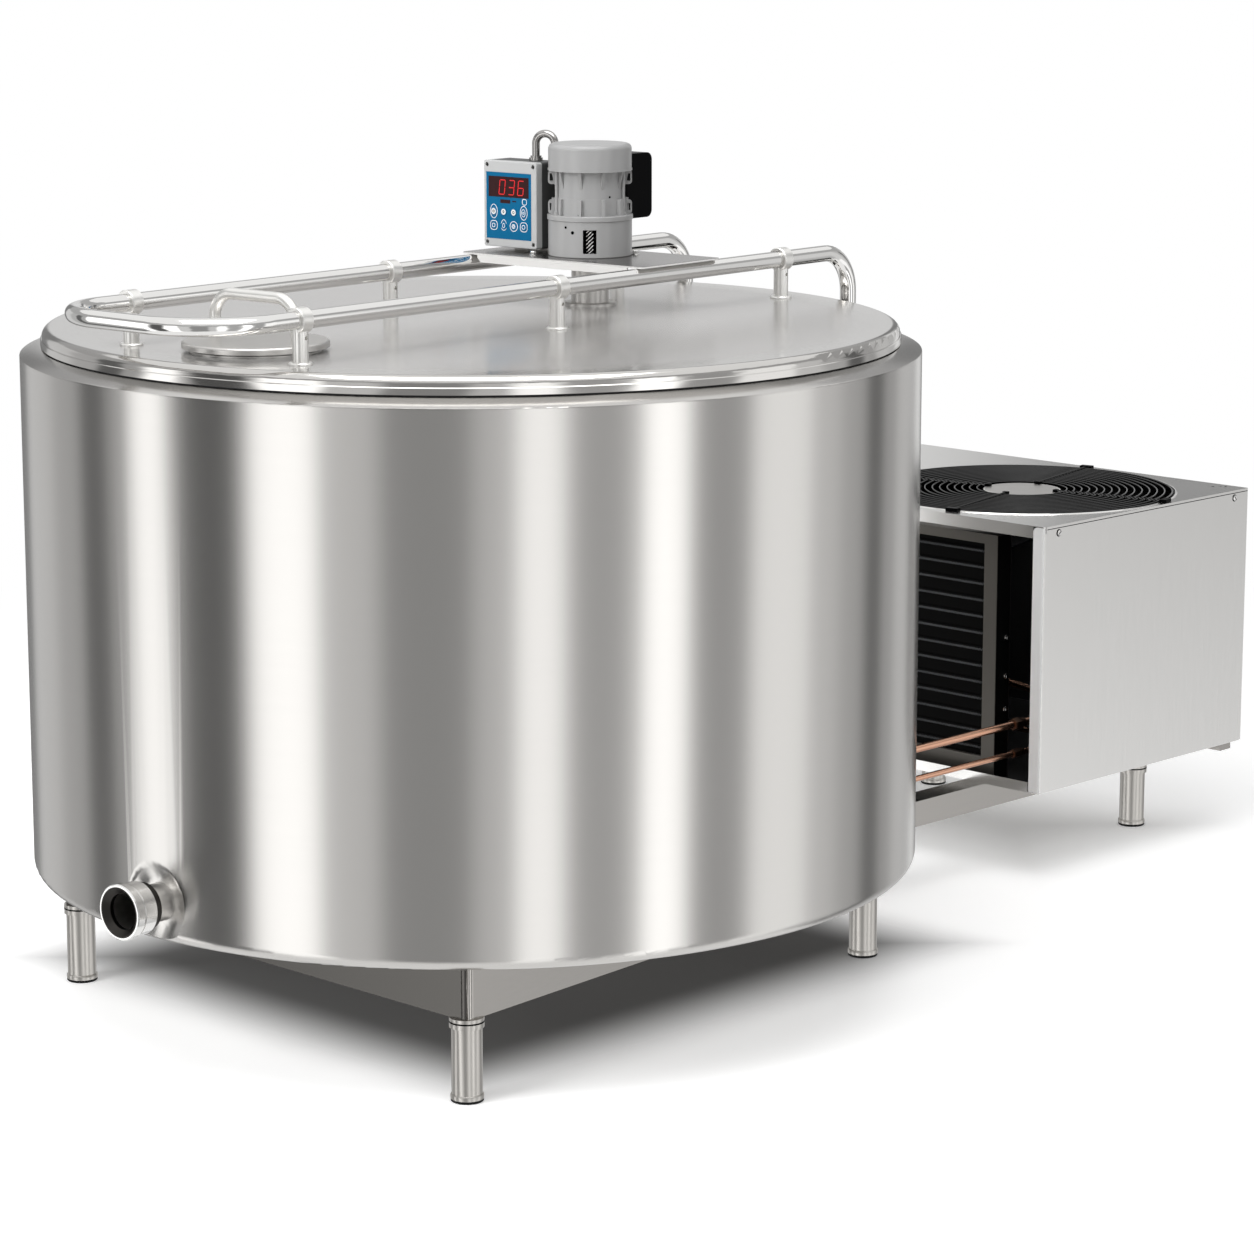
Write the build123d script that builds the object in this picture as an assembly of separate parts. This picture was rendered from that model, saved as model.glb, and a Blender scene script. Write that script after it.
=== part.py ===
from build123d import *
import os
from math import cos, sin, radians, sqrt, degrees, atan2

# Bulk milk cooler, millimetres, +Z up, floor at z = 0.
# The model is laid out about the tank's own axis: +X runs towards the condensing unit and
# -Y is the near side. At the end every piece moves by ORIGIN_X, so that the origin lies
# under the middle of the whole machine.
# The tank, with its outlet, lid and rails, stands turned by TANK_TURN on its frame.

# Tank shells
TANK_TURN = 4.0
TANK_R = 650.0
SHELL_SHEET = 2.0
SHELL_Z0 = 195.0
SHELL_HEIGHT = 752.0
SHELL_EDGE_R = 18.0
INSULATION = 46.0
FLOOR_INSULATION = 22.5
VESSEL_SHEET = 2.5
VESSEL_CORNER_R = 16.0
JACKET_DEPTH = 6.0
JACKET_HEIGHT = 80.0
FOAM_GAP = 0.2
FOAM_HEADROOM = 8.0

# Shoulder ring between the shell and the mouth
SHOULDER_RISE = 13.0
SHOULDER_FLAT = 20.0
SHOULDER_SHEET = 2.0
SHOULDER_EDGE = 2.0
SHOULDER_EDGE_R = 2.5

# Milk outlet: DN 50 dairy tube and male union
OUTLET_LIFT = 3.0
OUTLET_BORE_R = 25.0
OUTLET_TUBE_WALL = 1.5
OUTLET_REACH = 66.0
UNION_R = 39.0
UNION_RING = 13.0
UNION_GROOVE = 4.0
UNION_GROOVE_R = 35.5
UNION_BODY = 19.0
UNION_BODY_R = 37.0
UNION_NECK = 12.0
UNION_NECK_R = 33.0
UNION_SEAT_DEPTH = 7.0
UNION_SEAT_R = 33.0
TUBE_HOLE_CLEARANCE = 0.2
DISH_R = 61.0
DISH_FLOOR_R = 36.0
DISH_DEPTH = 11.0

# Lid
LID_INSET = 2.0
LID_SHEET = 2.0
LID_HEIGHT = 25.0
LID_BEAD_R = 12.5
LID_STEP = 2.0
LID_HEM = 10.0
LID_GAP = 2.0
GASKET_WIDTH = 12.0
GASKET_HEIGHT = 5.7
SEAL_GAP = 0.3
LINER_SHEET = 2.0

# Filler neck and its cover
PORT_INSET = 173.0
PORT_Y = -8.0
NECK_R = 80.0
NECK_WALL = 2.0
NECK_COLLAR = 8.0
NECK_RISE = 7.0
COVER_R = 101.0
COVER_SHEET = 2.0
COVER_RISE = 5.0
COVER_LIP = 9.0
COVER_EDGE_R = 4.0
PLUG_GAP = 2.0
PLUG_DEPTH = 14.0
HANDLE_R = 8.0
HANDLE_SPAN = 156.0
HANDLE_RISE = 60.0
HANDLE_BEND = 34.0

# Rails, posts and hinge
RAIL_R = 12.5
RAIL_WALL = 1.5
RAIL_RISE = 59.0
RAIL_HALF = 163.0
RAIL_BOW_REACH = 62.0
RAIL_U_BEND = 110.0
RAIL_END_BEND = 62.0
POST_INSET = 103.0
POST_R = 11.0
POST_FOOT_R = 16.5
POST_FOOT = 3.0
CLAMP_R = 17.5
CLAMP_LENGTH = 20.0
CLAMP_GAP = 0.1
SET_SCREW_R = 2.5
SET_SCREW_Z = 36.0
HINGE_STANDOFF = 37.0
HINGE_DROP = 60.0
HINGE_PIN_R = 5.0
HINGE_RUN = 0.05
PIN_FIT = 0.02
EYE_R = 14.0
EYE_HALF = 13.0
CHEEK_GAP = 0.3
CHEEK = 6.0
CHEEK_R = 16.0
BRACKET_HEIGHT = 64.0
BRACKET_BASE = 5.0
VENT_R = 2.0

# Bridge plate and agitator drive
AGIT_X = 262.0
PLATE_LENGTH = 178.0
PLATE_OVERHANG = 15.0
PLATE_SHEET = 3.0
PLATE_GAP = 0.3
PLATE_FLANGE = 11.0
PLATE_CORNER_R = 6.0
SHAFT_R = 8.0
SHAFT_RUN = 0.05
SHAFT_TOP = 30.0
HUB_R = 28.0
HUB_FLANGE_R = 39.0
HUB_FLANGE = 5.0
HUB_SPIGOT_R = 19.7
HUB_BORE_R = 14.0
HUB_LUG = 16.0
HUB_LUG_LIFT = 15.0
BEARING_LENGTH = 18.0
LID_HOLE_CLEARANCE = 0.3
PADDLE_R = 210.0
PADDLE_HEIGHT = 70.0
PADDLE_SHEET = 4.0
PADDLE_FLOOR_GAP = 45.0
PADDLE_BOSS_R = 16.0

# Gearmotor
GEAR_CASE_R = 62.5
GEAR_CASE_HEIGHT = 53.2
GEAR_COVER_R = 64.0
GEAR_COVER = 8.0
CORE_R = 51.5
CORE_HEIGHT = 65.0
RIB_COUNT = 10
RIB_TURN = 205.4
RIB_SHEET = 4.0
RIB_REACH = 7.0
RIB_DROP = 26.0
CORE_SEAM = 25.0
EAR_COUNT = 2
EAR_TURN = 130.4
EAR_SHEET = 6.0
EAR_REACH = 11.0
EAR_HEIGHT = 21.0
EAR_SLOT = 5.0
TIE_R = 2.6
TIE_OFFSET = 23.0
TIE_NUT_R = 4.6
TIE_NUT = 5.0
EARTH_LUG_R = 5.0
EARTH_LUG_TURN = 275.0
EARTH_LUG = 24.0
CAP_R = 62.2
CAP_HEIGHT = 40.0
CAP_EDGE_R = 8.0
CAP_BEAD = 0.8
CAP_BEAD_HEIGHT = 3.0
WINDOW_TURN = 220.0
WINDOW_WIDTH = 20.0
WINDOW_HEIGHT = 35.0
WINDOW_DEPTH = 24.0
WINDOW_SILL = 7.0
GEAR_R = 7.6
GEAR_TEETH = 10
GEAR_TOOTH = 1.9
GEAR_TWIST = 150.0
GEAR_SHAFT_R = 3.0
GEAR_INSET = 11.0
GEAR_END_GAP = 1.0
CAPACITOR_REACH = 53.0
CAPACITOR_WIDTH = 45.0
CAPACITOR_HEIGHT = 97.0
CAPACITOR_DROP = 11.0
CAPACITOR_R = 11.0

# Control box
BOX_FORWARD = 44.0
BOX_Y = 68.0
BOX_DEPTH = 55.0
BOX_WIDTH = 105.0
BOX_HEIGHT = 129.0
BOX_LIFT = 6.2
BOX_COVER = 13.0
BOX_EDGE_R = 3.5
BOX_WALL = 3.0
OVERLAY_WIDTH = 90.0
OVERLAY_HEIGHT = 100.0
OVERLAY_SIDE = 5.0
OVERLAY_TOP = 17.0
OVERLAY_SHEET = 0.6
OVERLAY_PROUD = 0.2
KEY_R = 6.0
KEY_GAP = 0.25
KEY_THICK = 3.0
KEY_PROUD = 0.7
KEY_TRAVEL = 0.8
KEY_COLUMNS = 4
KEY_FIRST = 15.0
KEY_PITCH = 20.0
KEY_ROW_DROP = [59.0, 80.0]
BRACKET_SHEET = 2.0
BRACKET_FOOT = 22.0
CONDUIT_R = 5.8
CONDUIT_RISE = 41.0
CONDUIT_INSET_X = 34.0
CONDUIT_INSET_Y = 30.0
CONDUIT_STANDOFF = 1.2
CONDUIT_BEND = 7.0
GLAND_R = 10.3
GLAND_HEIGHT = 5.0

# Frame under the tank
FRAME_FRONT_INSET = 214.0
FRAME_REAR_INSET = 138.0
FRAME_REAR_SIDE = 298.0
FRAME_HEIGHT = 77.0
FRAME_SHEET = 3.0
FRAME_FLANGE = 32.0
FRAME_CORNER_R = 12.0
LEG_R = 21.2
LEG_WALL = 2.0
LEG_INSET = 18.0
LEG_COLLAR_R = 24.0
LEG_COLLAR = 14.0
CAP_SOLE_R = 22.6
CAP_SOLE = 8.0
CAP_SOLE_EDGE = 1.2

# Condensing unit
UNIT_GAP = 357.0
UNIT_LENGTH = 558.0
UNIT_Y0 = -267.0
UNIT_WIDTH = 720.0
UNIT_Z0 = 150.0
UNIT_HEIGHT = 440.0
UNIT_SHEET = 1.5
UNIT_LIP = 20.0
TRAY_LIP = 17.0
SIDE_RETURN = 22.0
SIDE_BEND_R = 2.5
RETURN_CORNER_R = 8.0
NOTCH_HEIGHT = 9.0
NOTCH_WIDTH = 1.6
PANEL_GAP = 0.3
BEAM_HEIGHT = 42.0
BEAM_WIDTH = 45.0
BEAM_SHEET = 3.0
BEAM_NEAR_INSET = 135.0
BEAM_FAR_INSET = 141.0
UNIT_LEG_INSET = 124.0
CROSS_WIDTH = 30.0
CROSS_HEIGHT = 12.0
CROSS_INSET = 20.0
CROSS_SIDE_INSET = 6.0
FAN_COIL_GAP = 6.0
FAN_INSET_Y = 267.0
FAN_HOLE_R = 258.0
GUARD_LAP = 6.0
GUARD_WIRE = 3.0
GUARD_RINGS = 15
GUARD_FIRST = 10.0
GUARD_TURN = 13.0
GUARD_SPOKES = 4
SPOKE_WIDTH = 7.0
CLIP_WIDTH = 22.0
CLIP_LENGTH = 12.0
CLIP_HEIGHT = 6.0
HUB_PLATE_R = 66.0
HUB_PLATE = 5.0
FAN_MOTOR_R = 46.0
FAN_MOTOR_HEIGHT = 44.0
FAN_SHAFT_R = 6.0
FAN_SHAFT = 24.0
FAN_R = 214.0
FAN_HUB_R = 62.0
FAN_HUB = 18.0
FAN_BLADES = 5
BLADE_PITCH = 24.0
BLADE_SHEET = 3.0
BLADE_SWEEP = 58.0
COIL_INSET = 27.0
COIL_DEPTH = 32.0
COIL_NEAR_INSET = 140.0
COIL_FAR_INSET = 57.0
COIL_ROWS = 13
COIL_PITCH = 27.4
COIL_TUBE = 7.0
COIL_LIFT = 38.0
COIL_FRAME = 27.0
COIL_FRAME_TOP = 16.0
COIL_FRAME_PROUD = 4.0
COMPRESSOR_INSET = 185.0
COMPRESSOR_SIDE = 153.0
COMPRESSOR_R = 95.0
COMPRESSOR_HEIGHT = 250.0
COMPRESSOR_FOOT = 18.0
RECEIVER_INSET = 365.0
RECEIVER_SIDE = 113.0
RECEIVER_R = 60.0
RECEIVER_HEIGHT = 240.0
SUCTION_R = 6.35
LIQUID_R = 4.75
LINE_INSET = 59.0
SUCTION_LIFT = 43.5
LIQUID_DROP = 0.5
LINE_BEND = 30.0
SUCTION_RUN = 130.0
LIQUID_RUN = 100.0
LINE_OFFSET = 90.0
LIQUID_OFFSET = 60.0
LINE_TURN_IN = 88.0
SUCTION_APPROACH = 120.0
RECEIVER_APPROACH = 90.0
DISCHARGE_RUN = 50.0
DISCHARGE_RISE = 60.0
SCREW_R = 4.5
SCREW_HEAD = 2.4
SCREW_INSET = 38.0
SCREW_DROP = 13.0

# Values worked out from the above
GUARD_R = FAN_HOLE_R + GUARD_LAP
SHELL_INNER_R = TANK_R - SHELL_SHEET
SHELL_Z1 = SHELL_Z0 + SHELL_HEIGHT
VESSEL_OUTER_R = SHELL_INNER_R - INSULATION
VESSEL_R = VESSEL_OUTER_R - VESSEL_SHEET
SHOULDER_R = VESSEL_OUTER_R + SHOULDER_FLAT
MOUTH_Z = SHELL_Z1 + SHOULDER_RISE
VESSEL_Z0 = SHELL_Z0 + SHELL_SHEET + FLOOR_INSULATION
VESSEL_FLOOR_Z = VESSEL_Z0 + VESSEL_SHEET
VESSEL_Z1 = MOUTH_Z - SHOULDER_SHEET
LINE_Y = UNIT_Y0 + LINE_INSET
JACKET_R = VESSEL_OUTER_R + JACKET_DEPTH
JACKET_Z0 = VESSEL_Z0 - JACKET_DEPTH
LIQUID_Z = JACKET_Z0 - LIQUID_R - LIQUID_DROP
SUCTION_Z = JACKET_Z0 + SUCTION_LIFT
OUTLET_TUBE_R = OUTLET_BORE_R + OUTLET_TUBE_WALL
OUTLET_Z = VESSEL_FLOOR_Z + OUTLET_BORE_R + OUTLET_LIFT
OUTLET_END = TANK_R + OUTLET_REACH
LID_R = SHOULDER_R - LID_INSET
LID_INNER_R = LID_R - LID_STEP - LID_SHEET
LID_Z0 = MOUTH_Z + LID_GAP
LID_TOP_Z = LID_Z0 + LID_HEIGHT
PORT_X = PORT_INSET - LID_R
GASKET_Z0 = MOUTH_Z + SEAL_GAP
LINER_Z0 = GASKET_Z0 + GASKET_HEIGHT
NECK_TOP = LID_TOP_Z + NECK_RISE
COVER_TOP = NECK_TOP + SEAL_GAP + COVER_RISE + COVER_SHEET
RAIL_Z = LID_TOP_Z + RAIL_RISE
RAIL_U_X = -LID_R - RAIL_BOW_REACH
POST_PITCH = LID_R - POST_INSET
HINGE_X = TANK_R + HINGE_STANDOFF
HINGE_Z = MOUTH_Z - HINGE_DROP
PLATE_Z0 = RAIL_Z + RAIL_R + PLATE_GAP
PLATE_Z1 = PLATE_Z0 + PLATE_SHEET
PLATE_X0 = AGIT_X - PLATE_LENGTH / 2
PLATE_X1 = AGIT_X + PLATE_LENGTH / 2
GEAR_COVER_Z = PLATE_Z1 + GEAR_CASE_HEIGHT
CORE_Z = GEAR_COVER_Z + GEAR_COVER
CAP_Z = CORE_Z + CORE_HEIGHT
CAPACITOR_Z = CORE_Z - CAPACITOR_DROP
BOX_X = AGIT_X - BOX_FORWARD
BOX_Z0 = PLATE_Z1 + BOX_LIFT
BOX_Z1 = BOX_Z0 + BOX_HEIGHT
FRAME_X0 = FRAME_FRONT_INSET - TANK_R
FRAME_Y0 = TANK_R - FRAME_FRONT_INSET
FRAME_X1 = TANK_R - FRAME_REAR_INSET
FRAME_Y1 = TANK_R - FRAME_REAR_SIDE
FRAME_Z1 = SHELL_Z0
FRAME_Z0 = FRAME_Z1 - FRAME_HEIGHT
UNIT_X0 = TANK_R + UNIT_GAP
UNIT_X1 = UNIT_X0 + UNIT_LENGTH
UNIT_Y1 = UNIT_Y0 + UNIT_WIDTH
UNIT_Z1 = UNIT_Z0 + UNIT_HEIGHT
UNIT_LEG_X = UNIT_X1 - UNIT_LEG_INSET
BEAM_Z0 = UNIT_Z0 - BEAM_HEIGHT
BEAM_NEAR_Y = UNIT_Y0 + BEAM_NEAR_INSET
BEAM_FAR_Y = UNIT_Y1 - BEAM_FAR_INSET
CROSS_X0 = UNIT_X1 - CROSS_INSET - CROSS_WIDTH
COIL_X = UNIT_X0 + COIL_INSET
COIL_NEAR_Y = UNIT_Y0 + COIL_NEAR_INSET
COIL_FAR_Y = UNIT_Y1 - COIL_FAR_INSET
COIL_Z0 = UNIT_Z0 + COIL_LIFT
FAN_X = COIL_X + COIL_DEPTH + FAN_COIL_GAP + FAN_R
FAN_Y = UNIT_Y0 + FAN_INSET_Y
FAN_CAN_Z = UNIT_Z1 - HUB_PLATE - FAN_MOTOR_HEIGHT
COMPRESSOR_X = UNIT_X1 - COMPRESSOR_INSET
COMPRESSOR_Y = UNIT_Y1 - COMPRESSOR_SIDE
RECEIVER_X = UNIT_X1 - RECEIVER_INSET
RECEIVER_Y = UNIT_Y1 - RECEIVER_SIDE
ORIGIN_X = (OUTLET_END * cos(radians(TANK_TURN)) + UNION_R * sin(radians(TANK_TURN)) - UNIT_X1) / 2

DOWN = (Align.CENTER, Align.CENTER, Align.MIN)
parts = {}


def rod(radius, z0, z1, x=0.0, y=0.0):
    """A solid cylinder standing between two heights."""
    return Pos(x, y, z0) * Cylinder(radius, z1 - z0, align=DOWN)


def block(x0, x1, y0, y1, z0, z1):
    """A solid block between two corners."""
    return Pos(x0, y0, z0) * Box(x1 - x0, y1 - y0, z1 - z0, align=(Align.MIN,) * 3)


def cup(radius, z0, z1, edge_r):
    """A cylinder with a rounded lower edge, the form of every pressed tank bottom."""
    solid = rod(radius, z0, z1)
    return fillet(solid.edges().filter_by(GeomType.CIRCLE).group_by(Axis.Z)[0], edge_r)


def turned(points, x=0.0, y=0.0):
    """A closed outline of (radius, height) points, turned about a vertical axis."""
    face = make_face(Plane.XZ * Polyline(*points, close=True))
    return Pos(x, y, 0) * revolve(face, Axis.Z, 360)


def bar_x(radius, x0, x1, y, z):
    """A solid round bar along X."""
    return Pos(x0, y, z) * Rot(0, 90, 0) * Cylinder(radius, x1 - x0, align=DOWN)


def bar_y(radius, y0, y1, x, z):
    """A solid round bar along Y."""
    return Pos(x, y0, z) * Rot(-90, 0, 0) * Cylinder(radius, y1 - y0, align=DOWN)


def pipe(points, radii, radius, wall=0.0):
    """A round tube bent along straight runs and tangent arcs; no wall means a full section."""
    path = FilletPolyline(*points, radius=radii)
    start = Plane(origin=path @ 0, z_dir=path % 0)
    outer = sweep(start * Circle(radius), path=path)
    if wall == 0.0:
        return outer
    return outer - sweep(start * Circle(radius - wall), path=path)


def keep(name, *solids, turn=0.0):
    """Store a named piece, turned with the tank where it belongs to it."""
    shapes = [solid for group in solids for solid in group.solids()]
    placed = [Pos(ORIGIN_X, 0, 0) * Rot(0, 0, turn) * shape for shape in shapes]
    parts[name] = placed[0] if len(placed) == 1 else Compound(placed)


def outlet_dish(grow=0.0):
    """The conical recess pressed into the shell round the outlet, as a solid that opens outwards."""
    mouth_x = TANK_R + 1
    slope = (DISH_R - DISH_FLOOR_R) / DISH_DEPTH
    floor_x = TANK_R - DISH_DEPTH - grow
    floor_r = DISH_FLOOR_R + grow * 0.5
    cone = Cone(floor_r, floor_r + slope * (mouth_x - floor_x), mouth_x - floor_x, align=DOWN)
    return Pos(-floor_x, 0, OUTLET_Z) * Rot(0, -90, 0) * cone


def tank_shell():
    outer = cup(TANK_R, SHELL_Z0, SHELL_Z1, SHELL_EDGE_R) - outlet_dish()
    inner = cup(SHELL_INNER_R, SHELL_Z0 + SHELL_SHEET, SHELL_Z1 + 1, SHELL_EDGE_R - SHELL_SHEET)
    inner -= outlet_dish(SHELL_SHEET)
    shell = outer - inner - outlet_hole(TUBE_HOLE_CLEARANCE)
    for bar in line_bars(TUBE_HOLE_CLEARANCE):
        shell -= bar
    return shell


def outlet_hole(clearance):
    return bar_x(OUTLET_TUBE_R + clearance, -OUTLET_END, -VESSEL_R / 2, 0, OUTLET_Z)


def line_bars(clearance):
    """The straight runs of the two refrigerant lines, in the tank's own turned frame."""
    end = TANK_R + 60
    suction = bar_x(SUCTION_R + clearance, JACKET_R / 2, end, LINE_Y, SUCTION_Z)
    liquid = bar_x(LIQUID_R + clearance, JACKET_R / 2, end, LINE_Y, LIQUID_Z)
    return [suction.rotate(Axis.Z, -TANK_TURN), liquid.rotate(Axis.Z, -TANK_TURN)]


def vessel_space():
    """The room for the milk, as a solid."""
    return cup(VESSEL_R, VESSEL_FLOOR_Z, VESSEL_Z1 + 1, VESSEL_CORNER_R)


def vessel_body(grow=0.0):
    return cup(VESSEL_OUTER_R + grow, VESSEL_Z0 - grow, VESSEL_Z1, VESSEL_CORNER_R + VESSEL_SHEET + grow)


def inner_vessel():
    return vessel_body() - vessel_space() - outlet_hole(TUBE_HOLE_CLEARANCE)


def jacket_body(grow=0.0):
    edge = VESSEL_CORNER_R + VESSEL_SHEET + JACKET_DEPTH + grow
    return cup(JACKET_R + grow, JACKET_Z0 - grow, JACKET_Z0 + JACKET_HEIGHT + grow, edge)


def inlet_block(grow=0.0):
    """The small block under the jacket that takes the liquid line."""
    half = LIQUID_R + 5 + grow
    block_x = JACKET_R * 0.8
    solid = block(block_x - half, block_x + half, LINE_Y - half, LINE_Y + half,
                  LIQUID_Z - LIQUID_R - 2 - grow, JACKET_Z0)
    return solid.rotate(Axis.Z, -TANK_TURN)


def evaporator_jacket():
    jacket = jacket_body() - vessel_body() - outlet_hole(JACKET_DEPTH)
    return jacket + inlet_block()


def insulation_foam():
    top = SHELL_Z1 - FOAM_HEADROOM
    outer = cup(SHELL_INNER_R - FOAM_GAP, SHELL_Z0 + SHELL_SHEET + FOAM_GAP, top, SHELL_EDGE_R - SHELL_SHEET)
    foam = outer - vessel_body(FOAM_GAP) - jacket_body(FOAM_GAP) - inlet_block(FOAM_GAP)
    foam -= outlet_dish(SHELL_SHEET + FOAM_GAP)
    foam -= outlet_hole(TUBE_HOLE_CLEARANCE)
    for bar in line_bars(TUBE_HOLE_CLEARANCE):
        foam -= bar
    return foam.solids().sort_by(SortBy.VOLUME)[-1]


def shoulder_ring():
    """Sloped ring from the shell's rounded edge up to the mouth, with a flat seat inside."""
    rim = SHELL_Z1 + SHOULDER_EDGE
    ring = turned([(TANK_R, SHELL_Z1), (TANK_R, rim), (SHOULDER_R, MOUTH_Z), (VESSEL_R, MOUTH_Z),
                   (VESSEL_R, VESSEL_Z1), (SHOULDER_R - 1, VESSEL_Z1), (SHELL_INNER_R, SHELL_Z1)])
    edge = [e for e in ring.edges().filter_by(GeomType.CIRCLE)
            if abs(e.radius - TANK_R) < 0.01 and abs(e.center().Z - rim) < 0.01]
    return fillet(edge, min(SHOULDER_EDGE_R, SHOULDER_EDGE * 0.9))


def outlet_pipe():
    inner_end = VESSEL_R / 2
    tube_end = OUTLET_END - UNION_RING
    tube = bar_x(OUTLET_TUBE_R, -tube_end, -inner_end, 0, OUTLET_Z)
    tube -= bar_x(OUTLET_BORE_R, -tube_end - 1, -inner_end + 1, 0, OUTLET_Z)
    return tube - vessel_space()


def outlet_union():
    """Male union: ring, groove, body and neck turned about the outlet's axis."""
    x1 = UNION_RING
    x2 = x1 + UNION_GROOVE
    x3 = x2 + UNION_BODY
    x4 = x3 + UNION_NECK
    outline = [(UNION_SEAT_R, 0), (UNION_R - 1.5, 0), (UNION_R, 1.5), (UNION_R, x1 - 1), (UNION_R - 1, x1),
               (UNION_GROOVE_R, x1), (UNION_GROOVE_R, x2), (UNION_BODY_R, x2), (UNION_BODY_R, x3),
               (UNION_NECK_R, x3), (UNION_NECK_R, x4), (OUTLET_TUBE_R, x4), (OUTLET_TUBE_R, x1),
               (OUTLET_BORE_R, x1), (OUTLET_BORE_R, UNION_SEAT_DEPTH)]
    return Pos(-OUTLET_END, 0, OUTLET_Z) * Rot(0, 90, 0) * turned(outline)


def lid_space():
    """The room under the lid's sheet, with its rounded upper edge."""
    inner = rod(LID_INNER_R, LID_Z0 - 1, LID_TOP_Z - LID_SHEET)
    return fillet(inner.edges().filter_by(GeomType.CIRCLE).group_by(Axis.Z)[-1], LID_BEAD_R - LID_SHEET)


def lid_openings(z0, z1):
    port = rod(NECK_R + NECK_WALL + LID_HOLE_CLEARANCE, z0, z1, PORT_X, PORT_Y)
    shaft = rod(HUB_SPIGOT_R + LID_HOLE_CLEARANCE, z0, z1, AGIT_X)
    return port + shaft


def lid():
    """Flat sheet with a rolled bead at its edge and a folded hem below it."""
    skin = rod(LID_R - LID_STEP, LID_Z0, LID_TOP_Z)
    skin = fillet(skin.edges().filter_by(GeomType.CIRCLE).group_by(Axis.Z)[-1], LID_BEAD_R)
    hem = rod(LID_R, LID_Z0, LID_Z0 + LID_HEM)
    hem = chamfer(hem.edges().filter_by(GeomType.CIRCLE).group_by(Axis.Z)[-1], LID_STEP * 0.5)
    return skin + hem - lid_space() - lid_openings(LID_Z0, LID_TOP_Z + 1)


def lid_gasket():
    outer_r = LID_INNER_R - SEAL_GAP
    ring = rod(outer_r, GASKET_Z0, LINER_Z0) - rod(outer_r - GASKET_WIDTH, GASKET_Z0 - 1, LINER_Z0 + 1)
    return ring


def lid_liner():
    disc = rod(LID_INNER_R - SEAL_GAP, LINER_Z0, LINER_Z0 + LINER_SHEET)
    return disc - lid_openings(LINER_Z0 - 1, LINER_Z0 + LINER_SHEET + 1)


def filler_neck():
    outer = NECK_R + NECK_WALL
    collar = outer + NECK_COLLAR
    return turned([(NECK_R, LINER_Z0), (outer, LINER_Z0), (outer, LID_TOP_Z), (collar, LID_TOP_Z),
                   (collar, LID_TOP_Z + NECK_WALL), (outer, LID_TOP_Z + NECK_WALL), (outer, NECK_TOP),
                   (NECK_R, NECK_TOP)], PORT_X, PORT_Y)


def port_cover():
    """A shallow pressed cover with a rolled lip, a seat ring and a plug that drops into the neck."""
    seat_z = NECK_TOP + SEAL_GAP
    cap_z = COVER_TOP - COVER_SHEET
    skin = rod(COVER_R, COVER_TOP - COVER_LIP, COVER_TOP)
    skin = fillet(skin.edges().filter_by(GeomType.CIRCLE).group_by(Axis.Z)[-1], COVER_EDGE_R)
    hollow = rod(COVER_R - COVER_SHEET, COVER_TOP - COVER_LIP - 1, cap_z)
    hollow = fillet(hollow.edges().filter_by(GeomType.CIRCLE).group_by(Axis.Z)[-1], COVER_EDGE_R - COVER_SHEET)
    plug_r = NECK_R - PLUG_GAP
    plug = rod(plug_r, seat_z - PLUG_DEPTH, cap_z) - rod(plug_r - COVER_SHEET, seat_z - PLUG_DEPTH - 1, cap_z)
    seat = rod(NECK_R + NECK_WALL + 1, seat_z, cap_z) - rod(plug_r - COVER_SHEET, seat_z - 1, cap_z + 1)
    return Pos(PORT_X, PORT_Y, 0) * (skin - hollow + plug + seat)


def port_handle():
    half = HANDLE_SPAN / 2
    top = COVER_TOP + HANDLE_RISE
    points = [(PORT_X, PORT_Y + half, COVER_TOP), (PORT_X, PORT_Y + half, top),
              (PORT_X, PORT_Y - half, top), (PORT_X, PORT_Y - half, COVER_TOP)]
    return pipe(points, HANDLE_BEND, HANDLE_R)


def rail_frame():
    """One bent tube: down to a hinge eye, along, round the U, back and down to the other eye."""
    foot = HINGE_Z + EYE_R / 2
    points = [(HINGE_X, -RAIL_HALF, foot), (HINGE_X, -RAIL_HALF, RAIL_Z), (RAIL_U_X, -RAIL_HALF, RAIL_Z),
              (RAIL_U_X, RAIL_HALF, RAIL_Z), (HINGE_X, RAIL_HALF, RAIL_Z), (HINGE_X, RAIL_HALF, foot)]
    radii = [RAIL_END_BEND, RAIL_U_BEND, RAIL_U_BEND, RAIL_END_BEND]
    tube = pipe(points, radii, RAIL_R, RAIL_WALL)
    for side in (-RAIL_HALF, RAIL_HALF):
        tube += bar_y(EYE_R, side - EYE_HALF, side + EYE_HALF, HINGE_X, HINGE_Z)
    for side in (-RAIL_HALF, RAIL_HALF):
        tube -= bar_y(HINGE_PIN_R + HINGE_RUN, side - EYE_HALF - 1, side + EYE_HALF + 1, HINGE_X, HINGE_Z)
    return tube - rod(VENT_R, RAIL_Z - RAIL_R - 1, RAIL_Z, RAIL_U_X)


def rail_post():
    """A cast post with a foot below and a ring that clamps the rail."""
    post = rod(POST_R, LID_TOP_Z, RAIL_Z)
    foot = rod(POST_FOOT_R, LID_TOP_Z, LID_TOP_Z + POST_FOOT)
    foot = chamfer(foot.edges().filter_by(GeomType.CIRCLE).group_by(Axis.Z)[-1], POST_FOOT * 0.45)
    half = CLAMP_LENGTH / 2
    ring = bar_x(CLAMP_R, -half, half, 0, RAIL_Z)
    ring = chamfer(ring.edges().filter_by(GeomType.CIRCLE), 1.2)
    hole = bar_y(SET_SCREW_R, -POST_R - 1, -POST_R + 6, 0, LID_TOP_Z + SET_SCREW_Z)
    return post + foot + ring - bar_x(RAIL_R + CLAMP_GAP, -half - 1, half + 1, 0, RAIL_Z) - hole


def rail_posts():
    one = rail_post()
    posts = []
    for column in (-1, 0, 1):
        for side in (-RAIL_HALF, RAIL_HALF):
            posts.append(Pos(column * POST_PITCH, side, 0) * one)
    return posts


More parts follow.
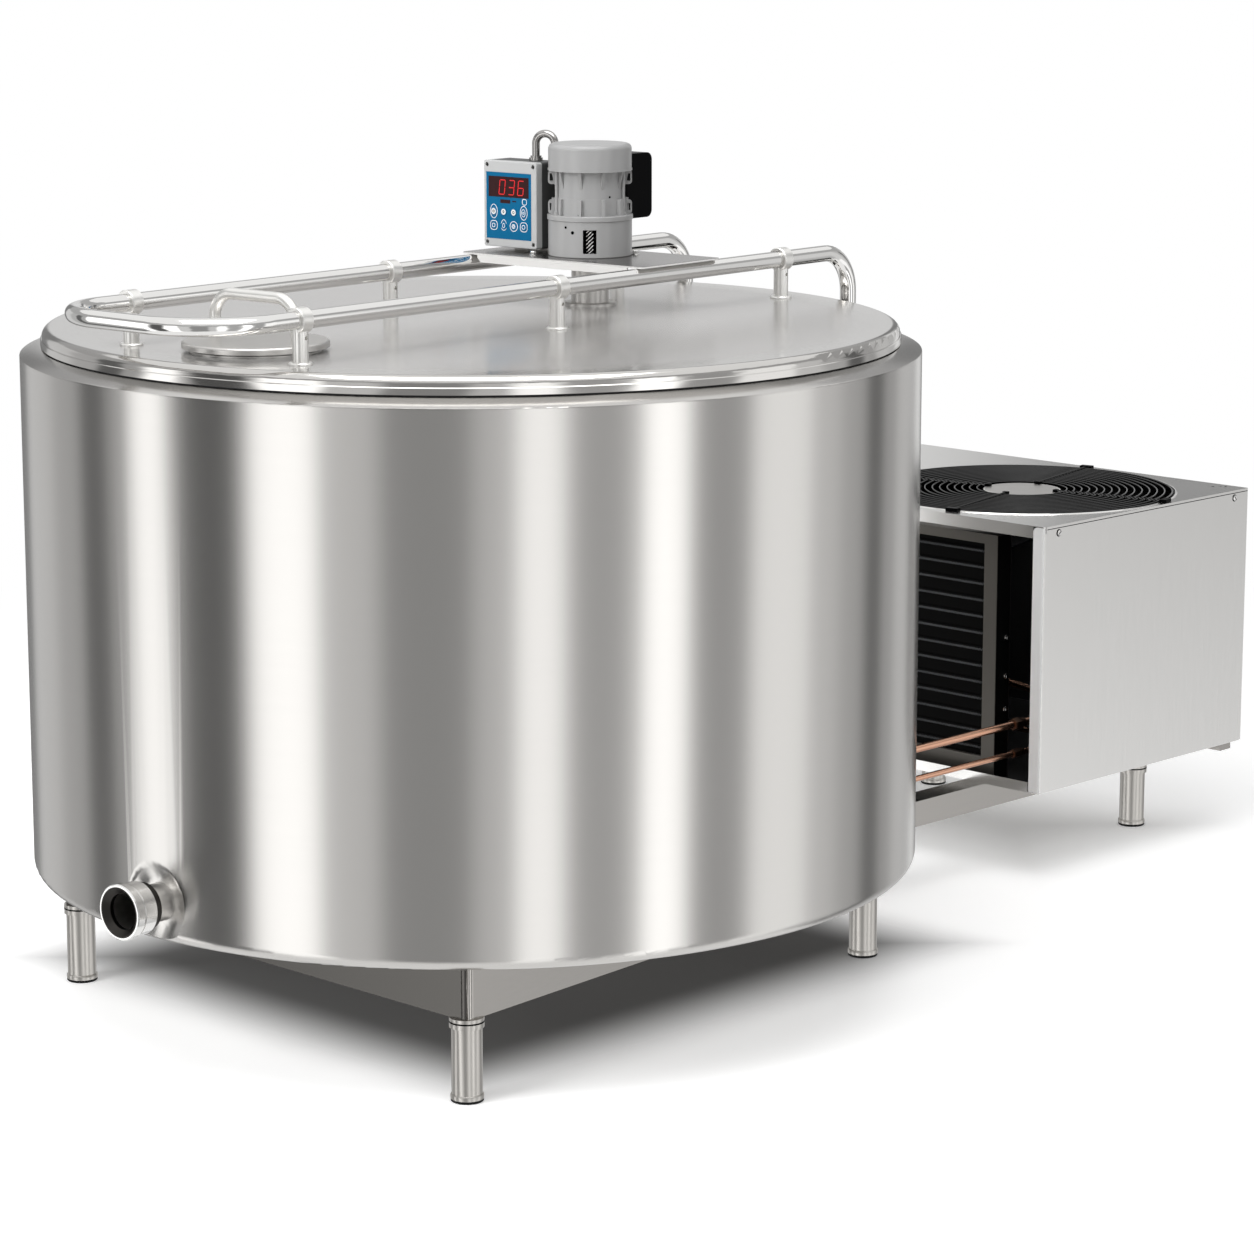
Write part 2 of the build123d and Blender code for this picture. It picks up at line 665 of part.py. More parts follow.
def hinge_bracket(side):
    """Two cheeks and a base, scribed to the round shell."""
    inner = EYE_HALF + CHEEK_GAP
    outer = inner + CHEEK
    z0 = HINGE_Z - BRACKET_HEIGHT / 2
    z1 = HINGE_Z + BRACKET_HEIGHT / 2
    wall_x = sqrt(TANK_R ** 2 - (RAIL_HALF - outer) ** 2)
    root_x = sqrt(TANK_R ** 2 - (RAIL_HALF + outer) ** 2) - 5
    cheek = block(root_x, HINGE_X, -CHEEK / 2, CHEEK / 2, HINGE_Z - CHEEK_R, HINGE_Z + CHEEK_R)
    cheek += bar_y(CHEEK_R, -CHEEK / 2, CHEEK / 2, HINGE_X, HINGE_Z)
    body = block(root_x, wall_x + BRACKET_BASE, side - outer, side + outer, z0, z1)
    for middle in (side - inner - CHEEK / 2, side + inner + CHEEK / 2):
        body += Pos(0, middle, 0) * cheek
    body -= rod(TANK_R, z0 - 5, z1 + 5)
    return body - bar_y(HINGE_PIN_R + PIN_FIT, side - outer - 1, side + outer + 1, HINGE_X, HINGE_Z)


def hinge_pin(side):
    half = EYE_HALF + CHEEK_GAP + CHEEK + 2
    pin = bar_y(HINGE_PIN_R, side - half, side + half, HINGE_X, HINGE_Z)
    head = half + 3
    for y0, y1 in ((side - head, side - half), (side + half, side + head)):
        pin += bar_y(HINGE_PIN_R + 2.5, y0, y1, HINGE_X, HINGE_Z)
    return pin


def bridge_plate():
    """A folded plate across the rails, with a flange turned down between them on two sides."""
    half = RAIL_HALF + PLATE_OVERHANG
    plate = block(PLATE_X0, PLATE_X1, -half, half, PLATE_Z0, PLATE_Z1)
    plate = fillet(plate.edges().filter_by(Axis.Z), PLATE_CORNER_R)
    inside = RAIL_HALF - RAIL_R - 4
    for x0 in (PLATE_X0, PLATE_X1 - PLATE_SHEET):
        flange = block(x0, x0 + PLATE_SHEET, -inside, inside, PLATE_Z0 - PLATE_FLANGE, PLATE_Z0)
        corners = flange.edges().filter_by(Axis.X).group_by(Axis.Z)[0]
        plate += chamfer(corners, PLATE_FLANGE * 0.6)
    return plate - rod(HUB_R - 6, PLATE_Z0 - 1, PLATE_Z1 + 1, AGIT_X)


def agitator_hub():
    """Flanged bearing tube between the lid and the plate, with a clamp lug at its side."""
    hub = rod(HUB_R, LID_TOP_Z, PLATE_Z0, AGIT_X)
    flange = rod(HUB_FLANGE_R, LID_TOP_Z, LID_TOP_Z + HUB_FLANGE, AGIT_X)
    flange = chamfer(flange.edges().filter_by(GeomType.CIRCLE).group_by(Axis.Z)[-1], 1.0)
    spigot = rod(HUB_SPIGOT_R, LINER_Z0 - 2, LID_TOP_Z, AGIT_X)
    lug_z = LID_TOP_Z + HUB_FLANGE + HUB_LUG_LIFT
    lug = block(AGIT_X, AGIT_X + HUB_R + HUB_LUG, -6, 6, lug_z, lug_z + 12)
    lug -= bar_y(3, -7, 7, AGIT_X + HUB_R + HUB_LUG / 2, lug_z + 6)
    hub += flange + spigot + lug
    hub -= rod(SHAFT_R + SHAFT_RUN, LINER_Z0 - 5, PLATE_Z0 + 1, AGIT_X)
    return hub - rod(HUB_BORE_R, LINER_Z0 - 2 + BEARING_LENGTH, PLATE_Z0 - BEARING_LENGTH, AGIT_X)


def agitator_shaft():
    bottom = VESSEL_FLOOR_Z + PADDLE_FLOOR_GAP
    return rod(SHAFT_R, bottom, PLATE_Z1 + SHAFT_TOP, AGIT_X)


def agitator_paddle():
    """Two pitched blades on a boss at the foot of the shaft."""
    bottom = VESSEL_FLOOR_Z + PADDLE_FLOOR_GAP
    top = bottom + PADDLE_HEIGHT
    boss = rod(PADDLE_BOSS_R, bottom, top, AGIT_X)
    blade_z = (bottom + top) / 2
    blade = Box(PADDLE_R - PADDLE_BOSS_R / 2, PADDLE_SHEET, PADDLE_HEIGHT, align=(Align.MIN, Align.CENTER, Align.CENTER))
    blade = fillet(blade.edges().filter_by(Axis.Y).group_by(Axis.X)[-1], PADDLE_HEIGHT / 5)
    blade = Rot(30, 0, 0) * blade
    paddle = boss
    for turn in (0, 180):
        paddle += Pos(AGIT_X, 0, blade_z) * Rot(0, 0, turn) * Pos(PADDLE_BOSS_R / 2, 0, 0) * blade
    return paddle - rod(SHAFT_R, bottom - 1, top + 1, AGIT_X)


def window_place():
    """The frame of the gearbox window: origin at the case's wall, X pointing out."""
    z = PLATE_Z1 + WINDOW_SILL + WINDOW_HEIGHT / 2
    return Pos(AGIT_X, 0, z) * Rot(0, 0, WINDOW_TURN) * Pos(GEAR_CASE_R, 0, 0)


def gearbox_housing():
    case = rod(GEAR_CASE_R, PLATE_Z1, GEAR_COVER_Z, AGIT_X)
    case = chamfer(case.edges().filter_by(GeomType.CIRCLE).group_by(Axis.Z)[0], 1.2)
    recess = Box(WINDOW_DEPTH * 2, WINDOW_WIDTH, WINDOW_HEIGHT)
    case -= window_place() * recess
    bore_half = WINDOW_HEIGHT / 2 + 4
    bore = Cylinder(GEAR_SHAFT_R + SHAFT_RUN, bore_half * 2)
    case -= window_place() * Pos(-GEAR_INSET, 0, 0) * bore
    return case - rod(SHAFT_R + 3, PLATE_Z1 - 1, PLATE_Z1 + SHAFT_TOP + 2, AGIT_X)


def window_gear():
    """Helical pinion seen in the window: teeth twisted along its length on a short shaft."""
    root_r = GEAR_R - GEAR_TOOTH
    length = WINDOW_HEIGHT - 2 * GEAR_END_GAP
    tooth = Pos(root_r + GEAR_TOOTH / 2 - 0.5, 0) * Rectangle(GEAR_TOOTH + 1, GEAR_TOOTH)
    profile = Circle(root_r) + [Rot(0, 0, 360 / GEAR_TEETH * i) * tooth for i in range(GEAR_TEETH)]
    gear = Solid.extrude_linear_with_rotation(profile.faces()[0], (0, 0, 0), (0, 0, length), GEAR_TWIST)
    gear = Pos(0, 0, -length / 2) * gear
    gear += Cylinder(GEAR_SHAFT_R, WINDOW_HEIGHT + 7)
    return window_place() * Pos(-GEAR_INSET, 0, 0) * gear


def gearbox_cover():
    ring = rod(GEAR_COVER_R, GEAR_COVER_Z, CORE_Z, AGIT_X)
    return chamfer(ring.edges().filter_by(GeomType.CIRCLE), 1.0)


def rib_outline(top_reach, foot_reach, z0, z1):
    """A rib's side view: from the core's wall out to its reach above, and back to its foot below."""
    root = CORE_R - 3
    return Plane.XZ * make_face(Polyline((root, z1), (top_reach, z1), (foot_reach, z0), (root, z0), close=True))


def motor_ear(z0):
    """A slotted lifting ear that stands out from the core."""
    reach = CORE_R + EAR_REACH
    ear = block(CORE_R - 3, reach, -EAR_SHEET / 2, EAR_SHEET / 2, z0, z0 + EAR_HEIGHT)
    ear = fillet(ear.edges().filter_by(Axis.Y).group_by(Axis.X)[-1], EAR_REACH * 0.45)
    middle = reach - EAR_REACH * 0.45
    slot = EAR_SLOT / 2
    return ear - block(middle - slot, middle + slot, -EAR_SHEET, EAR_SHEET, z0 + EAR_SLOT, z0 + EAR_HEIGHT - EAR_SLOT)


def motor_core():
    """Stator case: a seam, short ribs at both ends, two pairs of ears, four tie rods and an earth lug."""
    seam = CORE_Z + CORE_SEAM
    core = rod(CORE_R, CORE_Z, CAP_Z, AGIT_X) + rod(CORE_R + 1, CORE_Z, seam, AGIT_X)
    reach = CORE_R + RIB_REACH
    ribs = [rib_outline(reach - 1.5, reach, CORE_Z, seam - 1), rib_outline(reach, CORE_R, CAP_Z - RIB_DROP, CAP_Z)]
    for i in range(RIB_COUNT):
        place = Pos(AGIT_X, 0, 0) * Rot(0, 0, RIB_TURN + 360 / RIB_COUNT * i)
        for rib in ribs:
            core += place * extrude(rib, RIB_SHEET / 2, both=True)
    for i in range(EAR_COUNT):
        ear_turn = EAR_TURN + 360 / EAR_COUNT * i
        for z0 in (CORE_Z, CAP_Z - EAR_HEIGHT):
            core += Pos(AGIT_X, 0, 0) * Rot(0, 0, ear_turn) * motor_ear(z0)
        for side in (-TIE_OFFSET, TIE_OFFSET):
            place = Pos(AGIT_X, 0, 0) * Rot(0, 0, ear_turn + side) * Pos(CORE_R + TIE_R - 0.5, 0, 0)
            core += place * rod(TIE_R, CORE_Z, CAP_Z)
            core += place * rod(TIE_NUT_R, CORE_Z, CORE_Z + TIE_NUT)
    lug = Pos(AGIT_X, 0, 0) * Rot(0, 0, EARTH_LUG_TURN) * Pos(CORE_R + 1, 0, 0)
    return core + lug * rod(EARTH_LUG_R, CORE_Z, CORE_Z + EARTH_LUG)


def motor_cap():
    cap = rod(CAP_R, CAP_Z, CAP_Z + CAP_HEIGHT, AGIT_X)
    cap = fillet(cap.edges().filter_by(GeomType.CIRCLE).group_by(Axis.Z)[-1], CAP_EDGE_R)
    return cap + rod(CAP_R + CAP_BEAD, CAP_Z, CAP_Z + CAP_BEAD_HEIGHT, AGIT_X)


def capacitor():
    """Capacitor housing, hollowed to the round of the motor it is strapped to."""
    half = CAPACITOR_WIDTH / 2
    body = block(0, GEAR_COVER_R + CAPACITOR_REACH, -half, half, CAPACITOR_Z, CAPACITOR_Z + CAPACITOR_HEIGHT)
    body = fillet(body.edges().filter_by(Axis.Y).group_by(Axis.X)[-1], CAPACITOR_R)
    body = Pos(AGIT_X, 0, 0) * body
    return body - rod(GEAR_COVER_R + PANEL_GAP, PLATE_Z1, CAP_Z + CAP_HEIGHT + 5, AGIT_X)


def key_centres():
    """Key centres on the box's face as (y, z), seen from the front left to right."""
    left = BOX_Y + BOX_WIDTH - OVERLAY_SIDE
    top = BOX_Z1 - OVERLAY_TOP
    return [(left - KEY_FIRST - KEY_PITCH * column, top - drop)
            for drop in KEY_ROW_DROP for column in range(KEY_COLUMNS)]


def control_box():
    """Lower half of the enclosure, open to the front."""
    x0 = BOX_X + BOX_COVER
    x1 = BOX_X + BOX_DEPTH
    body = block(x0, x1, BOX_Y, BOX_Y + BOX_WIDTH, BOX_Z0, BOX_Z1)
    body = fillet(body.edges().filter_by(Axis.X), BOX_EDGE_R)
    inner = block(x0 - 1, x1 - BOX_WALL, BOX_Y + BOX_WALL, BOX_Y + BOX_WIDTH - BOX_WALL,
                  BOX_Z0 + BOX_WALL, BOX_Z1 - BOX_WALL)
    return body - inner


def control_cover():
    """Front half: screw wells at the corners, a recess for the overlay and a pocket for each key."""
    x1 = BOX_X + BOX_COVER
    cover = block(BOX_X, x1, BOX_Y, BOX_Y + BOX_WIDTH, BOX_Z0, BOX_Z1)
    cover = fillet(cover.edges().filter_by(Axis.X), BOX_EDGE_R)
    cover = fillet(cover.faces().sort_by(Axis.X)[0].outer_wire().edges(), 1.5)
    left = BOX_Y + BOX_WIDTH - OVERLAY_SIDE
    top = BOX_Z1 - OVERLAY_TOP
    recess = OVERLAY_SHEET - OVERLAY_PROUD
    cover -= block(BOX_X - 1, BOX_X + recess, left - OVERLAY_WIDTH, left, top - OVERLAY_HEIGHT, top)
    well = KEY_THICK + KEY_TRAVEL + 1.0
    for y, z in key_centres():
        cover -= bar_x(KEY_R + KEY_GAP, BOX_X - 1, BOX_X + well, y, z)
    for y in (BOX_Y + 6.5, BOX_Y + BOX_WIDTH - 6.5):
        for z in (BOX_Z0 + 6.5, BOX_Z1 - 6.5):
            cover -= bar_x(3.2, BOX_X - 1, BOX_X + 3, y, z)
    return cover


def keypad_overlay():
    left = BOX_Y + BOX_WIDTH - OVERLAY_SIDE
    top = BOX_Z1 - OVERLAY_TOP
    edge = 0.1
    sheet = block(BOX_X - OVERLAY_PROUD, BOX_X - OVERLAY_PROUD + OVERLAY_SHEET, left - OVERLAY_WIDTH + edge,
                  left - edge, top - OVERLAY_HEIGHT + edge, top - edge)
    for y, z in key_centres():
        sheet -= bar_x(KEY_R + KEY_GAP, BOX_X - 2, BOX_X + 2, y, z)
    return sheet


def key(y, z):
    face = BOX_X - OVERLAY_PROUD - KEY_PROUD
    cap = bar_x(KEY_R, face, face + KEY_THICK + KEY_PROUD, y, z)
    return chamfer(cap.edges().filter_by(GeomType.CIRCLE).group_by(Axis.X)[0], 0.5)


def box_bracket():
    """Bent strip that holds the box up off the plate from behind."""
    x0 = BOX_X + BOX_DEPTH
    y0 = BOX_Y + 8
    y1 = BOX_Y + BOX_WIDTH - 12
    upright = block(x0, x0 + BRACKET_SHEET, y0, y1, PLATE_Z1, BOX_Z0 + BOX_HEIGHT * 0.6)
    foot = block(x0, x0 + BRACKET_FOOT, y0, y1, PLATE_Z1, PLATE_Z1 + BRACKET_SHEET)
    shelf = block(x0 - BOX_DEPTH * 0.7, x0, y0, y1, BOX_Z0 - BRACKET_SHEET, BOX_Z0)
    return upright + foot + shelf


def conduit():
    """Steel tube that arches from a gland on the box and turns into the side of the motor's cap."""
    x = BOX_X + CONDUIT_INSET_X
    y = BOX_Y + CONDUIT_INSET_Y
    top = BOX_Z1 + CONDUIT_RISE
    end_y = CAP_R + CONDUIT_R + CONDUIT_STANDOFF
    drop = CAP_Z + CAP_HEIGHT * 0.5
    arch = sqrt((AGIT_X - x) ** 2 + (end_y - y) ** 2) * 0.49
    tube = pipe([(x, y, BOX_Z1), (x, y, top), (AGIT_X, end_y, top), (AGIT_X, end_y, drop),
                 (AGIT_X, end_y - CONDUIT_BEND - 2, drop)], [arch, arch, CONDUIT_BEND], CONDUIT_R)
    tube += rod(GLAND_R, BOX_Z1, BOX_Z1 + GLAND_HEIGHT, x, y)
    tube += rod(GLAND_R - 2, BOX_Z1 + GLAND_HEIGHT, BOX_Z1 + GLAND_HEIGHT + 3, x, y)
    return tube - rod(CAP_R, CAP_Z - 5, CAP_Z + CAP_HEIGHT + 5, AGIT_X)


def frame_outline():
    return Polyline((FRAME_X0, -FRAME_Y0), (FRAME_X1, -FRAME_Y1), (FRAME_X1, FRAME_Y1), (FRAME_X0, FRAME_Y0),
                    close=True)


def frame_panels():
    """Folded channels round the tank's foot, mitred where they meet at the rounded corners."""
    outer = fillet(make_face(frame_outline()).vertices(), FRAME_CORNER_R)
    inner = offset(outer, -FRAME_SHEET)
    lip = offset(outer, -FRAME_FLANGE)
    ring = extrude(outer - lip, FRAME_Z1 - FRAME_Z0)
    ring -= Pos(0, 0, FRAME_SHEET) * extrude(inner, FRAME_Z1 - FRAME_Z0 - 2 * FRAME_SHEET)
    ring = Pos(0, 0, FRAME_Z0) * ring
    corners = [(FRAME_X0, -FRAME_Y0), (FRAME_X1, -FRAME_Y1), (FRAME_X1, FRAME_Y1), (FRAME_X0, FRAME_Y0)]
    reach = 1.5
    panels = []
    for i in range(4):
        a = corners[i]
        b = corners[(i + 1) % 4]
        wedge = make_face(Polyline((0, 0), (a[0] * reach, a[1] * reach), (b[0] * reach, b[1] * reach), close=True))
        panels.append(ring & (Pos(0, 0, FRAME_Z0 - 5) * extrude(wedge, FRAME_Z1 - FRAME_Z0 + 10)))
    return panels


def leg_places():
    """Leg centres with the height of what each one carries."""
    rear_y = FRAME_Y1 - LEG_INSET
    front_y = FRAME_Y0 - LEG_INSET - 2
    return [(FRAME_X0 + LEG_INSET, -front_y, FRAME_Z0), (FRAME_X0 + LEG_INSET, front_y, FRAME_Z0),
            (FRAME_X1 - LEG_INSET, -rear_y, FRAME_Z0), (FRAME_X1 - LEG_INSET, rear_y, FRAME_Z0),
            (UNIT_LEG_X, BEAM_NEAR_Y, BEAM_Z0), (UNIT_LEG_X, BEAM_FAR_Y, BEAM_Z0)]


def leg_tubes():
    legs = []
    for x, y, top in leg_places():
        tube = rod(LEG_R, CAP_SOLE, top, x, y) - rod(LEG_R - LEG_WALL, CAP_SOLE - 1, top - LEG_COLLAR, x, y)
        legs.append(tube + rod(LEG_COLLAR_R, top - LEG_COLLAR, top, x, y))
    return legs


def foot_caps():
    caps = []
    for x, y, top in leg_places():
        cap = rod(CAP_SOLE_R, 0, CAP_SOLE, x, y)
        caps.append(chamfer(cap.edges().filter_by(GeomType.CIRCLE), CAP_SOLE_EDGE))
    return caps


def channel(x0, x1, y):
    """A folded channel along X, open below."""
    half = BEAM_WIDTH / 2
    outer = block(x0, x1, y - half, y + half, BEAM_Z0, UNIT_Z0)
    return outer - block(x0 - 1, x1 + 1, y - half + BEAM_SHEET, y + half - BEAM_SHEET, BEAM_Z0 + BEAM_SHEET,
                         UNIT_Z0 - BEAM_SHEET)


def unit_beams():
    cross = block(CROSS_X0, CROSS_X0 + CROSS_WIDTH, UNIT_Y0 + CROSS_SIDE_INSET, UNIT_Y1 - CROSS_SIDE_INSET,
                  UNIT_Z0 - CROSS_HEIGHT, UNIT_Z0)
    beams = []
    for y in (BEAM_NEAR_Y, BEAM_FAR_Y):
        beam = channel(FRAME_X1, CROSS_X0, y)
        for leg_x, leg_y, top in leg_places()[:4]:
            beam -= rod(LEG_COLLAR_R + PANEL_GAP, BEAM_Z0 - 1, top, leg_x, leg_y)
        beams.append(beam)
    return beams + [cross]


def unit_tray():
    inset = UNIT_SHEET + PANEL_GAP
    y0 = UNIT_Y0 + inset
    y1 = UNIT_Y1 - inset
    x1 = UNIT_X1 - inset
    tray = block(UNIT_X0, x1, y0, y1, UNIT_Z0, UNIT_Z0 + UNIT_SHEET)
    tray += block(UNIT_X0, UNIT_X0 + UNIT_SHEET, y0 + SIDE_RETURN, y1 - SIDE_RETURN, UNIT_Z0, UNIT_Z0 + TRAY_LIP)
    return tray + block(x1 - UNIT_SHEET, x1, y0, y1, UNIT_Z0, UNIT_Z0 + TRAY_LIP)


def side_panel(outer_y, inward):
    """Side sheet bent round to a return at the open front, with a relief slot at the top of the bend."""
    z0 = UNIT_Z0 + UNIT_SHEET + PANEL_GAP
    top = UNIT_Z1 - UNIT_SHEET - PANEL_GAP
    outer = SIDE_BEND_R + UNIT_SHEET
    points = [(UNIT_LENGTH, 0), (0, 0), (0, SIDE_RETURN), (UNIT_SHEET, SIDE_RETURN), (UNIT_SHEET, UNIT_SHEET),
              (UNIT_LENGTH, UNIT_SHEET)]
    panel = extrude(make_face(Polyline(points, close=True)), UNIT_Z1 - z0)
    upright = panel.edges().filter_by(Axis.Z)
    panel = fillet(upright.sort_by_distance((0, 0, UNIT_Z1 / 2))[0], outer)
    upright = panel.edges().filter_by(Axis.Z)
    panel = fillet(upright.sort_by_distance((UNIT_SHEET, UNIT_SHEET, UNIT_Z1 / 2))[0], SIDE_BEND_R)
    panel -= block(-1, outer + 1, UNIT_SHEET, SIDE_RETURN + 1, top - z0, UNIT_Z1)
    panel -= block(outer, outer + NOTCH_WIDTH, -1, UNIT_SHEET + 1, top - z0 - NOTCH_HEIGHT, UNIT_Z1)
    corner = panel.edges().filter_by(Axis.X).sort_by_distance((0, SIDE_RETURN, top - z0))[0]
    panel = Pos(UNIT_X0, outer_y, z0) * fillet(corner, RETURN_CORNER_R)
    return panel if inward > 0 else Pos(0, 2 * outer_y, 0) * mirror(panel, Plane.XZ)


def unit_back_panel():
    inset = UNIT_SHEET + PANEL_GAP
    return block(UNIT_X1 - UNIT_SHEET, UNIT_X1, UNIT_Y0 + inset, UNIT_Y1 - inset, UNIT_Z0 + UNIT_SHEET + PANEL_GAP,
                 UNIT_Z1 - inset)


def unit_top_panel():
    inset = UNIT_SHEET + PANEL_GAP
    y0 = UNIT_Y0 + inset
    y1 = UNIT_Y1 - inset
    inner = SIDE_RETURN + PANEL_GAP
    top = block(UNIT_X0, UNIT_X1, y0, y1, UNIT_Z1 - UNIT_SHEET, UNIT_Z1)
    top += block(UNIT_X0, UNIT_X0 + UNIT_SHEET, UNIT_Y0 + inner, UNIT_Y1 - inner, UNIT_Z1 - UNIT_LIP, UNIT_Z1)
    lip_x0 = UNIT_X0 + SIDE_BEND_R + inset
    lip_x1 = UNIT_X1 - inset
    for a, b in ((y0, y0 + UNIT_SHEET), (y1 - UNIT_SHEET, y1)):
        top += block(lip_x0, lip_x1, a, b, UNIT_Z1 - UNIT_LIP, UNIT_Z1)
    return top - rod(FAN_HOLE_R, UNIT_Z1 - 5, UNIT_Z1 + 5, FAN_X, FAN_Y)


def condenser_coil():
    """Fin block with its tube rows standing proud of the face."""
    top = COIL_Z0 + COIL_PITCH * COIL_ROWS
    fins = block(COIL_X + COIL_TUBE / 2, COIL_X + COIL_DEPTH, COIL_NEAR_Y, COIL_FAR_Y, COIL_Z0, top)
    for i in range(COIL_ROWS):
        z = COIL_Z0 + COIL_PITCH * (i + 0.5)
        fins += block(COIL_X, COIL_X + COIL_TUBE, COIL_NEAR_Y, COIL_FAR_Y, z - COIL_TUBE / 2, z + COIL_TUBE / 2)
    return fins


def condenser_frame():
    """Four channels round the coil, standing on the tray."""
    x0 = COIL_X - COIL_FRAME_PROUD
    x1 = COIL_X + COIL_DEPTH
    z0 = UNIT_Z0 + UNIT_SHEET
    coil_top = COIL_Z0 + COIL_PITCH * COIL_ROWS
    top = coil_top + COIL_FRAME_TOP
    outer = block(x0, x1, COIL_NEAR_Y - COIL_FRAME, COIL_FAR_Y + COIL_FRAME, z0, top)
    return outer - block(x0 - 1, x1 + 1, COIL_NEAR_Y, COIL_FAR_Y, COIL_Z0, coil_top)


def fan_guard():
    """Concentric wire rings on crossed spokes, held down by a clip at the end of each spoke."""
    z0 = UNIT_Z1
    z1 = z0 + GUARD_WIRE
    first = HUB_PLATE_R + GUARD_FIRST
    pitch = (GUARD_R - first) / (GUARD_RINGS - 1)
    guard = None
    for i in range(GUARD_RINGS):
        r = first + pitch * i
        ring = rod(r + GUARD_WIRE / 2, z0, z1) - rod(r - GUARD_WIRE / 2, z0 - 1, z1 + 1)
        guard = ring if guard is None else guard + ring
    for i in range(GUARD_SPOKES):
        spoke = block(HUB_PLATE_R - 8, GUARD_R + GUARD_WIRE / 2, -SPOKE_WIDTH / 2, SPOKE_WIDTH / 2, z0, z1)
        spoke += block(GUARD_R - CLIP_LENGTH / 2, GUARD_R + CLIP_LENGTH / 2, -CLIP_WIDTH / 2, CLIP_WIDTH / 2,
                       z0, z0 + CLIP_HEIGHT)
        guard += spoke.rotate(Axis.Z, GUARD_TURN + 360 / GUARD_SPOKES * i)
    return Pos(FAN_X, FAN_Y, 0) * guard


def fan_motor():
    """Hub plate hung under the guard's spokes, the motor can and its shaft."""
    plate = rod(HUB_PLATE_R, UNIT_Z1 - HUB_PLATE, UNIT_Z1, FAN_X, FAN_Y)
    can = rod(FAN_MOTOR_R, FAN_CAN_Z, UNIT_Z1 - HUB_PLATE, FAN_X, FAN_Y)
    return plate + can + rod(FAN_SHAFT_R, FAN_CAN_Z - FAN_SHAFT, FAN_CAN_Z, FAN_X, FAN_Y)


def fan_blades():
    """Hub and swept blades, each a bent strip of the ring pitched about its own radius."""
    hub_top = FAN_CAN_Z - 3
    middle = hub_top - FAN_HUB / 2
    hub = rod(FAN_HUB_R, hub_top - FAN_HUB, hub_top)
    fan = hub
    for i in range(FAN_BLADES):
        blade = Box(FAN_R - FAN_HUB_R + 6, 2 * BLADE_SWEEP * 1.1, BLADE_SHEET,
                    align=(Align.MIN, Align.CENTER, Align.CENTER))
        blade = fillet(blade.edges().filter_by(Axis.Z).group_by(Axis.X)[-1], BLADE_SWEEP * 0.7)
        place = Pos(0, 0, middle) * Rot(0, 0, 360 / FAN_BLADES * i) * Pos(FAN_HUB_R - 6, 0, 0)
        fan += place * Rot(BLADE_PITCH, 0, 0) * blade
    fan = Pos(FAN_X, FAN_Y, 0) * fan
    return fan - rod(FAN_SHAFT_R + SHAFT_RUN, hub_top - FAN_HUB - 30, hub_top + 30, FAN_X, FAN_Y)


def compressor():
    """Hermetic shell with domed ends on three rubber-mounted feet."""
    z0 = UNIT_Z0 + UNIT_SHEET
    low = z0 + COMPRESSOR_FOOT
    can = rod(COMPRESSOR_R, low, low + COMPRESSOR_HEIGHT, COMPRESSOR_X, COMPRESSOR_Y)
    can = fillet(can.edges().filter_by(GeomType.CIRCLE), COMPRESSOR_R * 0.45)
    plate = block(COMPRESSOR_X - COMPRESSOR_R, COMPRESSOR_X + COMPRESSOR_R, COMPRESSOR_Y - COMPRESSOR_R,
                  COMPRESSOR_Y + COMPRESSOR_R, low, low + 4)
    body = can + plate
    inset = COMPRESSOR_R - 14
    for dx in (-inset, inset):
        for dy in (-inset, inset):
            body += rod(11, z0, low, COMPRESSOR_X + dx, COMPRESSOR_Y + dy)
    return body


def receiver():
    z0 = UNIT_Z0 + UNIT_SHEET
    body = rod(RECEIVER_R, z0, z0 + RECEIVER_HEIGHT, RECEIVER_X, RECEIVER_Y)
    body = fillet(body.edges().filter_by(GeomType.CIRCLE).group_by(Axis.Z)[-1], RECEIVER_R * 0.5)
    return body


def suction_line():
    """Straight from the jacket's wall into the unit, then up and across to the compressor."""
    start_x = sqrt(JACKET_R ** 2 - LINE_Y ** 2) - 6
    bend_x = UNIT_X0 + SUCTION_RUN
    run_x = bend_x + LINE_OFFSET
    end_x = COMPRESSOR_X - COMPRESSOR_R * 0.2
    end_z = UNIT_Z0 + UNIT_SHEET + COMPRESSOR_FOOT + COMPRESSOR_HEIGHT * 0.5
    points = [(start_x, LINE_Y, SUCTION_Z), (bend_x, LINE_Y, SUCTION_Z), (run_x, LINE_Y + LINE_TURN_IN, SUCTION_Z),
              (run_x, COMPRESSOR_Y - SUCTION_APPROACH, end_z), (end_x, COMPRESSOR_Y - SUCTION_APPROACH, end_z),
              (end_x, COMPRESSOR_Y - COMPRESSOR_R * 0.87, end_z)]
    line = pipe(points, LINE_BEND, SUCTION_R)
    line -= rod(JACKET_R, SUCTION_Z - 30, SUCTION_Z + 30)
    return line - rod(COMPRESSOR_R, end_z - 60, end_z + 60, COMPRESSOR_X, COMPRESSOR_Y)


def liquid_line():
    block_x = JACKET_R * 0.8
    bend_x = UNIT_X0 + LIQUID_RUN
    run_x = bend_x + LIQUID_OFFSET
    end = RECEIVER_X - RECEIVER_R * 0.3
    points = [(block_x + LIQUID_R + 5, LINE_Y, LIQUID_Z), (bend_x, LINE_Y, LIQUID_Z),
              (run_x, LINE_Y + LINE_TURN_IN, LIQUID_Z), (run_x, RECEIVER_Y - RECEIVER_R * 2, LIQUID_Z),
              (end, RECEIVER_Y - RECEIVER_APPROACH, LIQUID_Z), (end, RECEIVER_Y - RECEIVER_R * 0.9, LIQUID_Z)]
    line = pipe(points, LINE_BEND, LIQUID_R)
    return line - rod(RECEIVER_R, LIQUID_Z - 30, LIQUID_Z + 30, RECEIVER_X, RECEIVER_Y)


